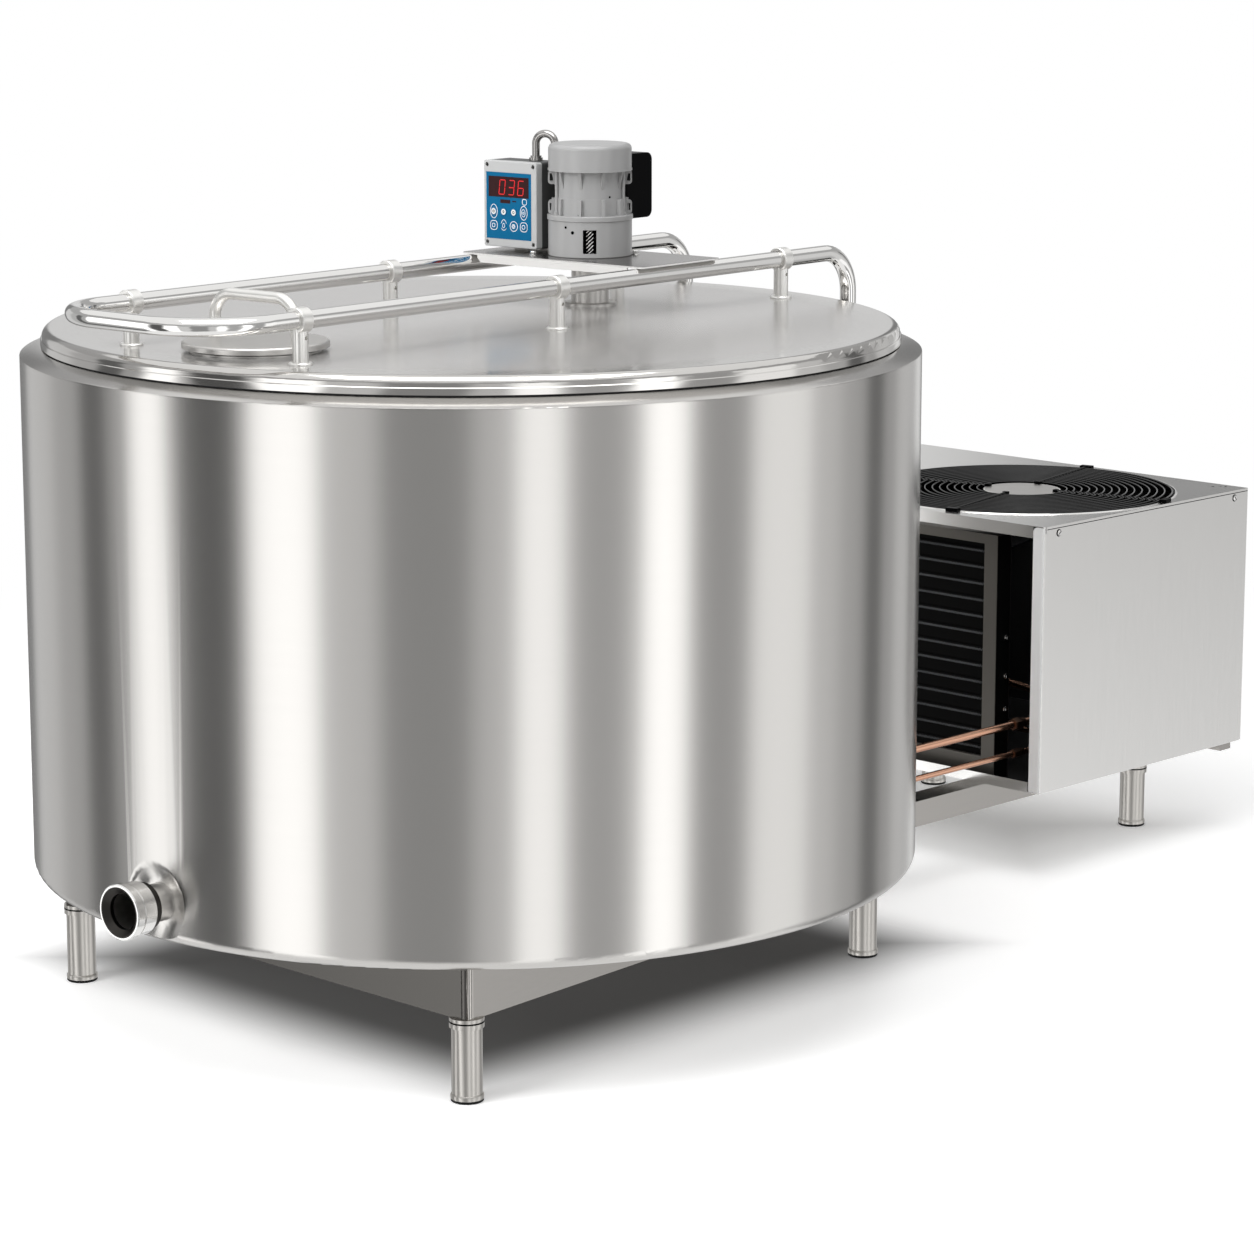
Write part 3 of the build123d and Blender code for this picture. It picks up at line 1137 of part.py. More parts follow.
def discharge_line():
    """From the compressor's shell to the top of the condenser."""
    z = UNIT_Z0 + UNIT_SHEET + COMPRESSOR_FOOT + COMPRESSOR_HEIGHT * 0.6
    x0 = COIL_X + COIL_DEPTH
    y = COMPRESSOR_Y - COMPRESSOR_R * 0.42
    run_x = x0 + DISCHARGE_RUN
    points = [(x0, y, z + DISCHARGE_RISE), (run_x, y, z + DISCHARGE_RISE), (run_x, y, z),
              (COMPRESSOR_X - COMPRESSOR_R * 0.89, y, z)]
    line = pipe(points, LINE_BEND * 0.7, LIQUID_R)
    return line - rod(COMPRESSOR_R, z - 60, z + 60, COMPRESSOR_X, COMPRESSOR_Y)


def panel_screws():
    screws = []
    z = UNIT_Z1 - SCREW_DROP
    for x in (UNIT_X0 + SCREW_INSET, UNIT_X1 - SCREW_INSET):
        for y0, y1, tip in ((UNIT_Y0 - SCREW_HEAD, UNIT_Y0, UNIT_Y0 + 1), (UNIT_Y1, UNIT_Y1 + SCREW_HEAD, 0)):
            head = bar_y(SCREW_R, y0, y1, x, z)
            outer = head.edges().filter_by(GeomType.CIRCLE).group_by(Axis.Y)[0 if tip else -1]
            screws.append(chamfer(outer, SCREW_HEAD * 0.4))
    return screws


def build():
    turn = TANK_TURN
    keep("tank_shell", tank_shell(), turn=turn)
    keep("inner_vessel", inner_vessel(), turn=turn)
    keep("insulation_foam", insulation_foam(), turn=turn)
    keep("evaporator_jacket", evaporator_jacket(), turn=turn)
    keep("shoulder_ring", shoulder_ring(), turn=turn)
    keep("outlet_pipe", outlet_pipe(), turn=turn)
    keep("outlet_union", outlet_union(), turn=turn)
    keep("hinge_brackets", hinge_bracket(-RAIL_HALF), hinge_bracket(RAIL_HALF), turn=turn)
    keep("hinge_pins", hinge_pin(-RAIL_HALF), hinge_pin(RAIL_HALF), turn=turn)
    keep("lid", lid(), turn=turn)
    keep("lid_liner", lid_liner(), turn=turn)
    keep("lid_gasket", lid_gasket(), turn=turn)
    keep("filler_neck", filler_neck(), turn=turn)
    keep("port_cover", port_cover(), turn=turn)
    keep("port_handle", port_handle(), turn=turn)
    keep("rail_frame", rail_frame(), turn=turn)
    keep("rail_posts", *rail_posts(), turn=turn)
    keep("bridge_plate", bridge_plate(), turn=turn)
    keep("agitator_hub", agitator_hub(), turn=turn)
    keep("agitator_shaft", agitator_shaft(), turn=turn)
    keep("agitator_paddle", agitator_paddle(), turn=turn)
    keep("gearbox_housing", gearbox_housing(), turn=turn)
    keep("window_gear", window_gear(), turn=turn)
    keep("gearbox_cover", gearbox_cover(), turn=turn)
    keep("motor_core", motor_core(), turn=turn)
    keep("motor_cap", motor_cap(), turn=turn)
    keep("capacitor", capacitor(), turn=turn)
    keep("control_box", control_box(), turn=turn)
    keep("control_cover", control_cover(), turn=turn)
    keep("keypad_overlay", keypad_overlay(), turn=turn)
    for i, (y, z) in enumerate(key_centres()):
        keep(f"key_{i + 1}", key(y, z), turn=turn)
    keep("box_bracket", box_bracket(), turn=turn)
    keep("conduit", conduit(), turn=turn)
    keep("frame_panels", *frame_panels())
    keep("leg_tubes", *leg_tubes())
    keep("foot_caps", *foot_caps())
    keep("unit_beams", *unit_beams())
    keep("unit_tray", unit_tray())
    keep("unit_panel_near", side_panel(UNIT_Y0, 1))
    keep("unit_panel_far", side_panel(UNIT_Y1, -1))
    keep("unit_back_panel", unit_back_panel())
    keep("unit_top_panel", unit_top_panel())
    keep("condenser_coil", condenser_coil())
    keep("condenser_frame", condenser_frame())
    keep("fan_guard", fan_guard())
    keep("fan_motor", fan_motor())
    keep("fan_blades", fan_blades())
    keep("compressor", compressor())
    keep("receiver", receiver())
    keep("suction_line", suction_line())
    keep("liquid_line", liquid_line())
    keep("discharge_line", discharge_line())
    keep("panel_screws", *panel_screws())


build()
os.makedirs("parts", exist_ok=True)
for name, piece in parts.items():
    export_step(piece, f"parts/{name}.step")
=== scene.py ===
import math

import bmesh
import bpy
import numpy as np
from mathutils import Matrix, Vector


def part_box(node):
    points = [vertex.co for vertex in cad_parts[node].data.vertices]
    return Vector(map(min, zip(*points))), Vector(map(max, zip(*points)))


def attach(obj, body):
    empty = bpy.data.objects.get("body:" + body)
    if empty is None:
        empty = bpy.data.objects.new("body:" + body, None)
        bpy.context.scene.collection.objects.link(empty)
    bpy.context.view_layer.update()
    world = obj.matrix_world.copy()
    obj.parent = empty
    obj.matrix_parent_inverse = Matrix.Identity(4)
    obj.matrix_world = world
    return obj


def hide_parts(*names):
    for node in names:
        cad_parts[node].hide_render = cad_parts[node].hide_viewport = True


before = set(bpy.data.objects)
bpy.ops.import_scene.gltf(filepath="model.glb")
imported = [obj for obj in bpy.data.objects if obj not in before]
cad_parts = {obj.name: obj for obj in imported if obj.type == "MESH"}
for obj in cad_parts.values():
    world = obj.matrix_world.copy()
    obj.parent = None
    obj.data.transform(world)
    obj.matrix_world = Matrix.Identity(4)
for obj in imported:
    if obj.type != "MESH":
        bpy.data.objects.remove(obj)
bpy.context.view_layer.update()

bl_info = {
    "name": "Bulk Milk Cooler",
    "version": (1, 0, 0),
    "blender": (4, 5, 0),
    "location": "View3D > Sidebar > Milk Cooler",
    "description": "Gives the packed milk cooler its finishes, fine pieces and studio",
    "category": "Object",
}

MM = 0.001
# Slow drift in the roughness of sheet, about one cloud in 30 cm
CLOUDS_PER_METRE = 3.2

# Places read from the frame, in metres
TANK_LO, TANK_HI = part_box("tank_shell")
TANK_X = (TANK_HI[0] + TANK_LO[0]) / 2
TANK_Y = (TANK_HI[1] + TANK_LO[1]) / 2
UNIT_LO = [min(a, b) for a, b in zip(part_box("unit_tray")[0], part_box("unit_panel_near")[0])]
UNIT_HI = [max(a, b) for a, b in zip(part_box("unit_panel_far")[1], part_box("unit_top_panel")[1])]


class CoolerSizes(bpy.types.PropertyGroup):
    """Sizes of the fine pieces that a user would change."""

    tank_turn: bpy.props.FloatProperty(
        name="Tank turn", description="How far the tank stands turned on its frame",
        default=math.radians(4.0), subtype="ANGLE", unit="ROTATION")
    brush_pitch: bpy.props.FloatProperty(
        name="Brush line pitch",
        description="Spacing of the brushing on the satin sheet, drawn coarse enough to show",
        default=1.2 * MM, unit="LENGTH")


class CoolerColours(bpy.types.PropertyGroup):
    """Colours as sRGB hex values."""

    stainless: bpy.props.StringProperty(name="Stainless", description="Brushed stainless sheet",
                                        default="#CDCBC8")
    polished: bpy.props.StringProperty(name="Polished", description="Polished stainless tube",
                                       default="#E6E5E3")
    casting: bpy.props.StringProperty(name="Casting", description="Bright cast posts and handle",
                                      default="#F0EFEC")
    motor_grey: bpy.props.StringProperty(name="Motor grey", description="Paint of the gearmotor",
                                         default="#A5A5A5")
    box_grey: bpy.props.StringProperty(name="Box grey", description="Moulded control box", default="#BFC0C0")
    panel_blue: bpy.props.StringProperty(name="Panel blue", description="Printed film of the keypad",
                                         default="#0A6692")
    copper: bpy.props.StringProperty(name="Copper", description="Drawn copper tube", default="#E3B094")


class StudioSettings(bpy.types.PropertyGroup):
    """Camera and lamps of the stage."""

    lens: bpy.props.FloatProperty(name="Lens", description="Focal length on a 36 mm sensor, in mm",
                                  default=112.89)
    top_level: bpy.props.FloatProperty(name="Top light",
                                       description="Power of the overhead softbox in watts", default=118.0)
    side_level: bpy.props.FloatProperty(name="Side light",
                                        description="Power of the softbox at the left in watts",
                                        default=215.0)
    sky_level: bpy.props.FloatProperty(name="Sky", description="Strength of the even light from all round",
                                       default=0.37)


def sizes():
    return bpy.context.scene.cooler_sizes


def colours():
    return bpy.context.scene.cooler_colours


def studio():
    return bpy.context.scene.cooler_studio


# Colours and materials

def linear(hex_colour):
    """sRGB hex to linear RGBA: the inverse of the sRGB curve, channel by channel."""
    value = np.array([int(hex_colour[i:i + 2], 16) for i in (1, 3, 5)]) / 255
    rgb = np.where(value <= 0.04045, value / 12.92, ((value + 0.055) / 1.055) ** 2.4)
    return (*rgb.tolist(), 1.0)


def node(tree, kind, settings=None, inputs=None):
    """Adds a node with its settings, and its inputs as constants or links."""
    made = tree.nodes.new(kind)
    for key, value in (settings or {}).items():
        setattr(made, key, value)
    for key, value in (inputs or {}).items():
        if isinstance(value, bpy.types.NodeSocket):
            tree.links.new(value, made.inputs[key])
        else:
            made.inputs[key].default_value = value
    return made


def new_material(name):
    """An empty node material with its output; returns the material, tree and output node."""
    material = bpy.data.materials.new(name)
    material.use_nodes = True
    material.node_tree.nodes.clear()
    output = material.node_tree.nodes.new("ShaderNodeOutputMaterial")
    return material, material.node_tree, output


def object_coords(tree, scale=(1.0, 1.0, 1.0), rotation=(0.0, 0.0, 0.0), location=(0.0, 0.0, 0.0)):
    coords = node(tree, "ShaderNodeTexCoord").outputs["Object"]
    mapping = node(tree, "ShaderNodeMapping", None,
                   {"Vector": coords, "Location": location, "Rotation": rotation, "Scale": scale})
    return mapping.outputs["Vector"]


def round_the_tank(tree):
    """Direction of the lines on turned sheet: up crossed with the way out from the tank's axis."""
    coords = node(tree, "ShaderNodeTexCoord").outputs["Object"]
    outward = node(tree, "ShaderNodeVectorMath", {"operation": "SUBTRACT"},
                   {0: coords, 1: (TANK_X, TANK_Y, 0.0)})
    along = node(tree, "ShaderNodeVectorMath", {"operation": "CROSS_PRODUCT"},
                 {0: (0.0, 0.0, 1.0), 1: outward.outputs[0]})
    return node(tree, "ShaderNodeVectorMath", {"operation": "NORMALIZE"}, {0: along.outputs[0]}).outputs[0]


def brushed_steel(name, hex_colour, rough, stretch, streak_mm=None, bump=0.02, spread=0.06, smear=0.0,
                  tone=0.05, metallic=1.0):
    """Brushed sheet: streaks of noise stretched along the brushing, in roughness, tone and a slight bump.

    The stretch is given per axis, in streak widths. Smear is the anisotropy round the tank, and a metallic
    share below 1 leaves the sheet part matt, so that it also takes soft shadows.
    """
    material, tree, output = new_material(name)
    streak = sizes().brush_pitch if streak_mm is None else streak_mm * MM
    scale = tuple(1.0 / (streak * times) for times in stretch)
    streaks = node(tree, "ShaderNodeTexNoise", None,
                   {"Vector": object_coords(tree, scale), "Scale": 1.0, "Detail": 3.0})
    clouds = node(tree, "ShaderNodeTexNoise", None,
                  {"Vector": object_coords(tree), "Scale": CLOUDS_PER_METRE, "Detail": 2.0})
    shade = node(tree, "ShaderNodeMapRange", None,
                 {"Value": streaks.outputs["Fac"], "To Min": 1 - tone, "To Max": 1 + tone})
    haze = node(tree, "ShaderNodeMapRange", None,
                {"Value": clouds.outputs["Fac"], "To Min": rough - spread, "To Max": rough + spread})
    colour = node(tree, "ShaderNodeMix", {"data_type": "RGBA", "blend_type": "MULTIPLY"},
                  {"Factor": 1.0, "A": linear(hex_colour), "B": shade.outputs["Result"]})
    height = node(tree, "ShaderNodeBump", None,
                  {"Strength": bump, "Distance": 0.2 * MM, "Height": streaks.outputs["Fac"]})
    metal = node(tree, "ShaderNodeBsdfPrincipled", None,
                 {"Base Color": colour.outputs["Result"], "Metallic": metallic,
                  "Roughness": haze.outputs["Result"], "Normal": height.outputs["Normal"]})
    if smear:
        metal.inputs["Anisotropic"].default_value = smear
        metal.inputs["Anisotropic Rotation"].default_value = 0.25
        tree.links.new(round_the_tank(tree), metal.inputs["Tangent"])
    tree.links.new(metal.outputs["BSDF"], output.inputs["Surface"])
    return material


def second_skin(material, mask, hex_colour, low_rough, high_rough, metallic=0.0):
    """Covers a material with a second one where the mask, a socket made in its own tree, is 1."""
    tree = material.node_tree
    output = next(n for n in tree.nodes if n.type == "OUTPUT_MATERIAL")
    under = output.inputs["Surface"].links[0].from_socket
    grain = node(tree, "ShaderNodeTexNoise", None,
                 {"Vector": object_coords(tree), "Scale": 900.0, "Detail": 2.0})
    level = node(tree, "ShaderNodeMapRange", None,
                 {"Value": grain.outputs["Fac"], "To Min": low_rough, "To Max": high_rough})
    over = node(tree, "ShaderNodeBsdfPrincipled", None,
                {"Base Color": linear(hex_colour), "Metallic": metallic,
                 "Roughness": level.outputs["Result"]})
    mixed = node(tree, "ShaderNodeMixShader", None, {0: mask, 1: under, 2: over.outputs["BSDF"]})
    tree.links.new(mixed.outputs[0], output.inputs["Surface"])
    return material


def beyond(tree, axis, limit, below=False):
    """1 where the object coordinate along an axis is above the limit, or below it, else 0."""
    split = node(tree, "ShaderNodeSeparateXYZ", None,
                 {0: node(tree, "ShaderNodeTexCoord").outputs["Object"]})
    rule = "LESS_THAN" if below else "GREATER_THAN"
    return node(tree, "ShaderNodeMath", {"operation": rule}, {0: split.outputs[axis], 1: limit}).outputs[0]


def fade(tree, axis, low, high, most):
    """Rises from 0 at one object coordinate to the most at another, evenly between them."""
    split = node(tree, "ShaderNodeSeparateXYZ", None,
                 {0: node(tree, "ShaderNodeTexCoord").outputs["Object"]})
    return node(tree, "ShaderNodeMapRange", None,
                {"Value": split.outputs[axis], "From Min": low, "From Max": high,
                 "To Max": most}).outputs["Result"]


def near_line(tree, place, way, radius):
    """1 nearer than the radius to a line: the length of (p - place) crossed with its direction."""
    coords = node(tree, "ShaderNodeTexCoord").outputs["Object"]
    away = node(tree, "ShaderNodeVectorMath", {"operation": "SUBTRACT"}, {0: coords, 1: place})
    square = node(tree, "ShaderNodeVectorMath", {"operation": "CROSS_PRODUCT"}, {0: away.outputs[0], 1: way})
    reach = node(tree, "ShaderNodeVectorMath", {"operation": "LENGTH"}, {0: square.outputs[0]})
    return node(tree, "ShaderNodeMath", {"operation": "LESS_THAN"},
                {0: reach.outputs["Value"], 1: radius}).outputs[0]


def sheet_shaded_inside(name, hex_colour, rough, low, high):
    """Sheet that is satin steel outside and black inside the box it encloses, as painted shade that makes
    the inside look deep.

    A point counts as inside where |p - centre| - half size, the largest of the three axes, is below -1.2 mm.
    """
    material = brushed_steel(name, hex_colour, rough, (1, 1, 40), bump=0.006, spread=0.03)
    tree = material.node_tree
    coords = node(tree, "ShaderNodeTexCoord").outputs["Object"]
    centre = [(a + b) / 2 for a, b in zip(low, high)]
    half = [(b - a) / 2 for a, b in zip(low, high)]
    away = node(tree, "ShaderNodeVectorMath", {"operation": "SUBTRACT"}, {0: coords, 1: centre})
    reach = node(tree, "ShaderNodeVectorMath", {"operation": "ABSOLUTE"}, {0: away.outputs[0]})
    over = node(tree, "ShaderNodeVectorMath", {"operation": "SUBTRACT"}, {0: reach.outputs[0], 1: half})
    split = node(tree, "ShaderNodeSeparateXYZ", None, {0: over.outputs[0]})
    wide = node(tree, "ShaderNodeMath", {"operation": "MAXIMUM"}, {0: split.outputs[0], 1: split.outputs[1]})
    largest = node(tree, "ShaderNodeMath", {"operation": "MAXIMUM"},
                   {0: wide.outputs[0], 1: split.outputs[2]})
    inside = node(tree, "ShaderNodeMath", {"operation": "LESS_THAN"}, {0: largest.outputs[0], 1: -1.2 * MM})
    # Painted shade: black on every face more than 1.2 mm inside the box
    return second_skin(material, inside.outputs[0], "#0C0C0D", 0.5, 0.7)


def polished_metal(name, hex_colour, rough, grain_mm=4.0):
    """Polished metal with faint polishing haze."""
    material, tree, output = new_material(name)
    haze = node(tree, "ShaderNodeTexNoise", None,
                {"Vector": object_coords(tree), "Scale": 1.0 / (grain_mm * MM), "Detail": 3.0})
    level = node(tree, "ShaderNodeMapRange", None,
                 {"Value": haze.outputs["Fac"], "To Min": rough * 0.7, "To Max": rough * 1.3})
    metal = node(tree, "ShaderNodeBsdfPrincipled", None,
                 {"Base Color": linear(hex_colour), "Metallic": 1.0, "Roughness": level.outputs["Result"]})
    tree.links.new(metal.outputs["BSDF"], output.inputs["Surface"])
    return material


def coated(name, hex_colour, rough, grain_mm=0.8, bump=0.05, vary=0.04, gloss=0.5):
    """Paint or moulded plastic: a fine grain in the bump and a slow drift in tone."""
    material, tree, output = new_material(name)
    grain = node(tree, "ShaderNodeTexNoise", None,
                 {"Vector": object_coords(tree), "Scale": 1.0 / (grain_mm * MM), "Detail": 4.0})
    drift = node(tree, "ShaderNodeTexNoise", None,
                 {"Vector": object_coords(tree), "Scale": 9.0, "Detail": 2.0})
    tone = node(tree, "ShaderNodeMapRange", None,
                {"Value": drift.outputs["Fac"], "To Min": 1.0 - vary, "To Max": 1.0 + vary})
    colour = node(tree, "ShaderNodeMix", {"data_type": "RGBA", "blend_type": "MULTIPLY"},
                  {"Factor": 1.0, "A": linear(hex_colour), "B": tone.outputs["Result"]})
    height = node(tree, "ShaderNodeBump", None,
                  {"Strength": bump, "Distance": 0.3 * MM, "Height": grain.outputs["Fac"]})
    level = node(tree, "ShaderNodeMapRange", None,
                 {"Value": grain.outputs["Fac"], "To Min": rough * 0.85, "To Max": rough * 1.15})
    skin = node(tree, "ShaderNodeBsdfPrincipled", None,
                {"Base Color": colour.outputs["Result"], "Roughness": level.outputs["Result"],
                 "Specular IOR Level": gloss, "Normal": height.outputs["Normal"]})
    tree.links.new(skin.outputs["BSDF"], output.inputs["Surface"])
    return material


def lit_film(name, hex_colour, strength):
    """Light-emitting segments behind a tinted window."""
    material, tree, output = new_material(name)
    grain = node(tree, "ShaderNodeTexNoise", None,
                 {"Vector": object_coords(tree), "Scale": 1.0 / (0.8 * MM), "Detail": 2.0})
    level = node(tree, "ShaderNodeMapRange", None,
                 {"Value": grain.outputs["Fac"], "To Min": strength * 0.9, "To Max": strength * 1.1})
    skin = node(tree, "ShaderNodeBsdfPrincipled", None,
                {"Base Color": linear(hex_colour), "Roughness": 0.4, "Emission Color": linear(hex_colour),
                 "Emission Strength": level.outputs["Result"]})
    tree.links.new(skin.outputs["BSDF"], output.inputs["Surface"])
    return material


def metal_finishes():
    """Sheet and tube, by the name of what each is."""
    c = colours()
    # How much longer a brush line is than wide along each axis
    round_tank = (40, 40, 1)
    along = (40, 1, 1)
    upright = (1, 1, 40)
    fine = {"streak_mm": 2.5, "bump": 0.006, "spread": 0.02, "tone": 0.02}
    return {
        # No. 4 brushed sheet: its lines run round the tank and smear reflections upright into soft columns
        "tank_sheet": brushed_steel("Brushed stainless tank sheet", c.stainless, 0.24, round_tank,
                                    streak_mm=4.0, bump=0.002, spread=0.01, smear=0.8, tone=0.012),
        # Finer satin: half matt, so the lid mirrors posts and rails softly and also shows their shade
        "lid_sheet": brushed_steel("Satin stainless lid sheet", "#B8B6B4", 0.19, along, metallic=0.45,
                                   **fine),
        # The same satin, fully metallic: a clear grey slope round the mouth
        "shoulder_sheet": brushed_steel("Satin shoulder sheet", "#C6C4C1", 0.17, along, **fine),
        # Plain satin sheet with visible brush lines
        "sheet": brushed_steel("Satin stainless sheet", c.stainless, 0.33, along),
        # Blasted sheet scatters light, so the plate has no clear mirror image
        "plate_sheet": brushed_steel("Bead-blasted stainless plate", "#FAF9F8", 0.42, along, bump=0.01),
        # Mill-finished channel: darker and rather glossy
        "frame_sheet": brushed_steel("Folded stainless channel", "#AFACA8", 0.2, along,
                                     **{**fine, "tone": 0.03}),
        # Ground tube: fine upright lines and a broad soft highlight
        "leg_steel": brushed_steel("Ground stainless leg tube", "#C6C3BE", 0.32, upright,
                                   streak_mm=1.6, bump=0.01, spread=0.04, tone=0.04),
        # Pale satin outside, black inside as painted shade, so the unit looks deep
        "unit_sheet": sheet_shaded_inside("Unit sheet, painted shade inside", "#F1F0EE", 0.22, UNIT_LO, UNIT_HI),
        "side_sheet": sheet_shaded_inside("Near side sheet, painted shade inside", "#EAE9E7", 0.22, UNIT_LO, UNIT_HI),
        # Dull zinc coat, darker than the stainless skin
        "coil_channel": brushed_steel("Galvanised coil channel", "#77746F", 0.5, upright),
        # Buffed tube: crisp lines of light along it, only slightly hazed
        "polished": polished_metal("Polished stainless tube", c.polished, 0.085),
        "union_steel": polished_metal("Turned dairy union", c.polished, 0.16),
        "conduit_tube": polished_metal("Plated conduit", "#ABA9A7", 0.14),
        # Electropolishing leaves a bright skin with a milky sheen
        "casting": polished_metal("Electropolished casting", c.casting, 0.34, 2.0),
    }


def other_finishes():
    """Paint, plastics, rubber, copper and printed film, by the name of what each is."""
    c = colours()
    return {
        # Baked enamel: a soft sheen with the slightest orange peel
        "motor_paint": coated("Grey motor enamel", c.motor_grey, 0.3, bump=0.02, gloss=0.6),
        # Moulded ABS: finely grained and half matt
        "box_abs": coated("Light grey ABS moulding", c.box_grey, 0.42, 0.5, gloss=0.35),
        # The box's back half is painted dark grey: painted shade beside the motor
        "box_back_shaded_abs": coated("ABS moulding painted dark as shade", "#474848", 0.45, 0.5, gloss=0.25),
        # Back-printed film: even colour under a thin clear skin
        "film_blue": coated("Printed polyester film", c.panel_blue, 0.28, 0.4, 0.02, gloss=0.08),
        "key_abs": coated("White ABS keys", "#E9EAEA", 0.35, 0.4, 0.02),
        # Phenolic, fin lacquer, dipped wire and enamel are all black; they differ in how much they shine
        "black_abs": coated("Black phenolic moulding", "#050506", 0.3, 0.8, gloss=0.03),
        "black_fins": coated("Black coated fins", "#070707", 0.6, 0.8, 0.1, gloss=0.08),
        "black_wire": coated("Black dipped wire", "#060606", 0.24, 0.8, gloss=0.5),
        "black_enamel": coated("Black compressor enamel", "#0A0A0B", 0.28, 1.5, gloss=0.15),
        # Rubber and silicone: dull, with a coarse grain
        "rubber": coated("Black rubber", "#0D0D0D", 0.62, 0.6, 0.15, gloss=0.2),
        "seal": coated("Grey silicone seal", "#4A4A4C", 0.6, 0.6, 0.1),
        "foam": coated("Rigid polyurethane foam", "#D9C58A", 0.85, 1.5, 0.3),
        # Drawn copper: warm and bright, hazed by handling
        "copper": polished_metal("Drawn copper tube", c.copper, 0.22, 3.0),
        "dark_steel": polished_metal("Blackened steel screws", "#6E6E6C", 0.35, 1.5),
        # The fittings' dark brown is painted shade: they sit in shadow
        "brass": polished_metal("Brass fittings painted dark as shade", "#4A372C", 0.42, 2.0),
        "fin_metal": polished_metal("Aluminium fin edges", "#7C7E80", 0.55, 1.0),
        # The window is tinted so dark that only the lit segments show through
        "display": coated("Tinted acrylic window", "#2E0C0E", 0.16, 0.6, 0.01, 0.02, gloss=0.12),
        "lit_red": lit_film("Lit red segments", "#C8141A", 0.46),
        # Screen print: opaque, flat ink
        "print_white": coated("White screen print", "#F4F6F8", 0.45, 0.5, 0.03, 0.02),
        "print_dark": coated("Dark screen print", "#2A3138", 0.45, 0.5, 0.03, 0.02, gloss=0.2),
    }


def add_skins(made):
    """Second skins on parts of a piece: mostly painted shade and painted highlights, some also smoother than
    the rest.
    """
    # The plate's top is smoother and painted darker, as painted shade; its folded lip is painted light, as a
    # painted highlight
    plate = made["plate_sheet"]
    plate_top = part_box("bridge_plate")[1][2]
    second_skin(plate, beyond(plate.node_tree, 2, plate_top - 0.4 * MM), "#8F8D8B", 0.2, 0.26, 1.0)
    second_skin(plate, beyond(plate.node_tree, 2, plate_top - 2.0 * MM, True), "#DDDCDA", 0.34, 0.42)
    # The union's seat and bore are painted dark: painted shade inside them
    union = made["union_steel"]
    low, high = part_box("outlet_union")
    turn = sizes().tank_turn
    middle = (TANK_X, TANK_Y, (low[2] + high[2]) / 2)
    inside = near_line(union.node_tree, middle, (math.cos(turn), math.sin(turn), 0.0), 35.2 * MM)
    second_skin(union, inside, "#3C3A38", 0.3, 0.4, 1.0)
    # The near side panel is painted a little darker towards its top, a painted reflection,
    # and the edge of its return is painted light, a painted highlight
    side = made["side_sheet"]
    second_skin(side, fade(side.node_tree, 2, UNIT_LO[2], UNIT_HI[2], 0.45), "#BDBBB9", 0.2, 0.25, 1.0)
    second_skin(side, beyond(side.node_tree, 0, UNIT_LO[0] + 1.6 * MM, True), "#FFFFFF", 0.4, 0.5)
    # The lid's rolled rim is smoother and fully metallic, and painted brighter as a painted highlight
    lid = made["lid_sheet"]
    coords = node(lid.node_tree, "ShaderNodeTexCoord").outputs["Object"]
    lid_middle = (TANK_X, TANK_Y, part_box("lid")[1][2])
    away = node(lid.node_tree, "ShaderNodeVectorMath", {"operation": "SUBTRACT"}, {0: coords, 1: lid_middle})
    reach = node(lid.node_tree, "ShaderNodeVectorMath", {"operation": "LENGTH"}, {0: away.outputs[0]})
    rim = node(lid.node_tree, "ShaderNodeMapRange", {"interpolation_type": "SMOOTHSTEP"},
               {"Value": reach.outputs["Value"], "From Min": 0.54, "From Max": 0.6})
    second_skin(lid, rim.outputs["Result"], "#D0CECB", 0.09, 0.13, 1.0)
    # The frame's left channel is painted darker: painted shade from the tank above it
    channel = made["frame_sheet"]
    left = beyond(channel.node_tree, 0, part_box("frame_panels")[0][0] + 3.5 * MM, True)
    second_skin(channel, left, "#62605D", 0.2, 0.28, 1.0)


# Every finish by name, filled by the finishes operator
FINISH = {}

# The nodes that each finish dresses
NODE_FINISH = {
    "tank_sheet": "tank_shell",
    "sheet": "inner_vessel evaporator_jacket outlet_pipe hinge_brackets lid_liner filler_neck port_cover "
             "agitator_hub agitator_paddle box_bracket",
    "foam": "insulation_foam",
    "shoulder_sheet": "shoulder_ring",
    "union_steel": "outlet_union",
    "polished": "hinge_pins rail_frame agitator_shaft panel_screws",
    "lid_sheet": "lid",
    "seal": "lid_gasket",
    "casting": "port_handle rail_posts",
    "plate_sheet": "bridge_plate",
    "motor_paint": "gearbox_housing gearbox_cover motor_core motor_cap",
    "black_enamel": "window_gear fan_motor compressor receiver",
    "black_abs": "capacitor fan_blades",
    "box_back_shaded_abs": "control_box",
    "box_abs": "control_cover",
    "film_blue": "keypad_overlay key_1 key_2 key_3 key_4 key_5 key_6 key_7 key_8",
    "conduit_tube": "conduit",
    "frame_sheet": "frame_panels unit_beams",
    "leg_steel": "leg_tubes",
    "rubber": "foot_caps",
    "unit_sheet": "unit_tray unit_panel_far unit_back_panel unit_top_panel",
    "side_sheet": "unit_panel_near",
    "black_fins": "condenser_coil",
    "coil_channel": "condenser_frame",
    "black_wire": "fan_guard",
    "copper": "suction_line liquid_line discharge_line",
}


# Edges sharper than this stay crisp, in degrees: on the CAD nodes, and on the fine pieces
NODE_CREASE = 28
PIECE_CREASE = 35


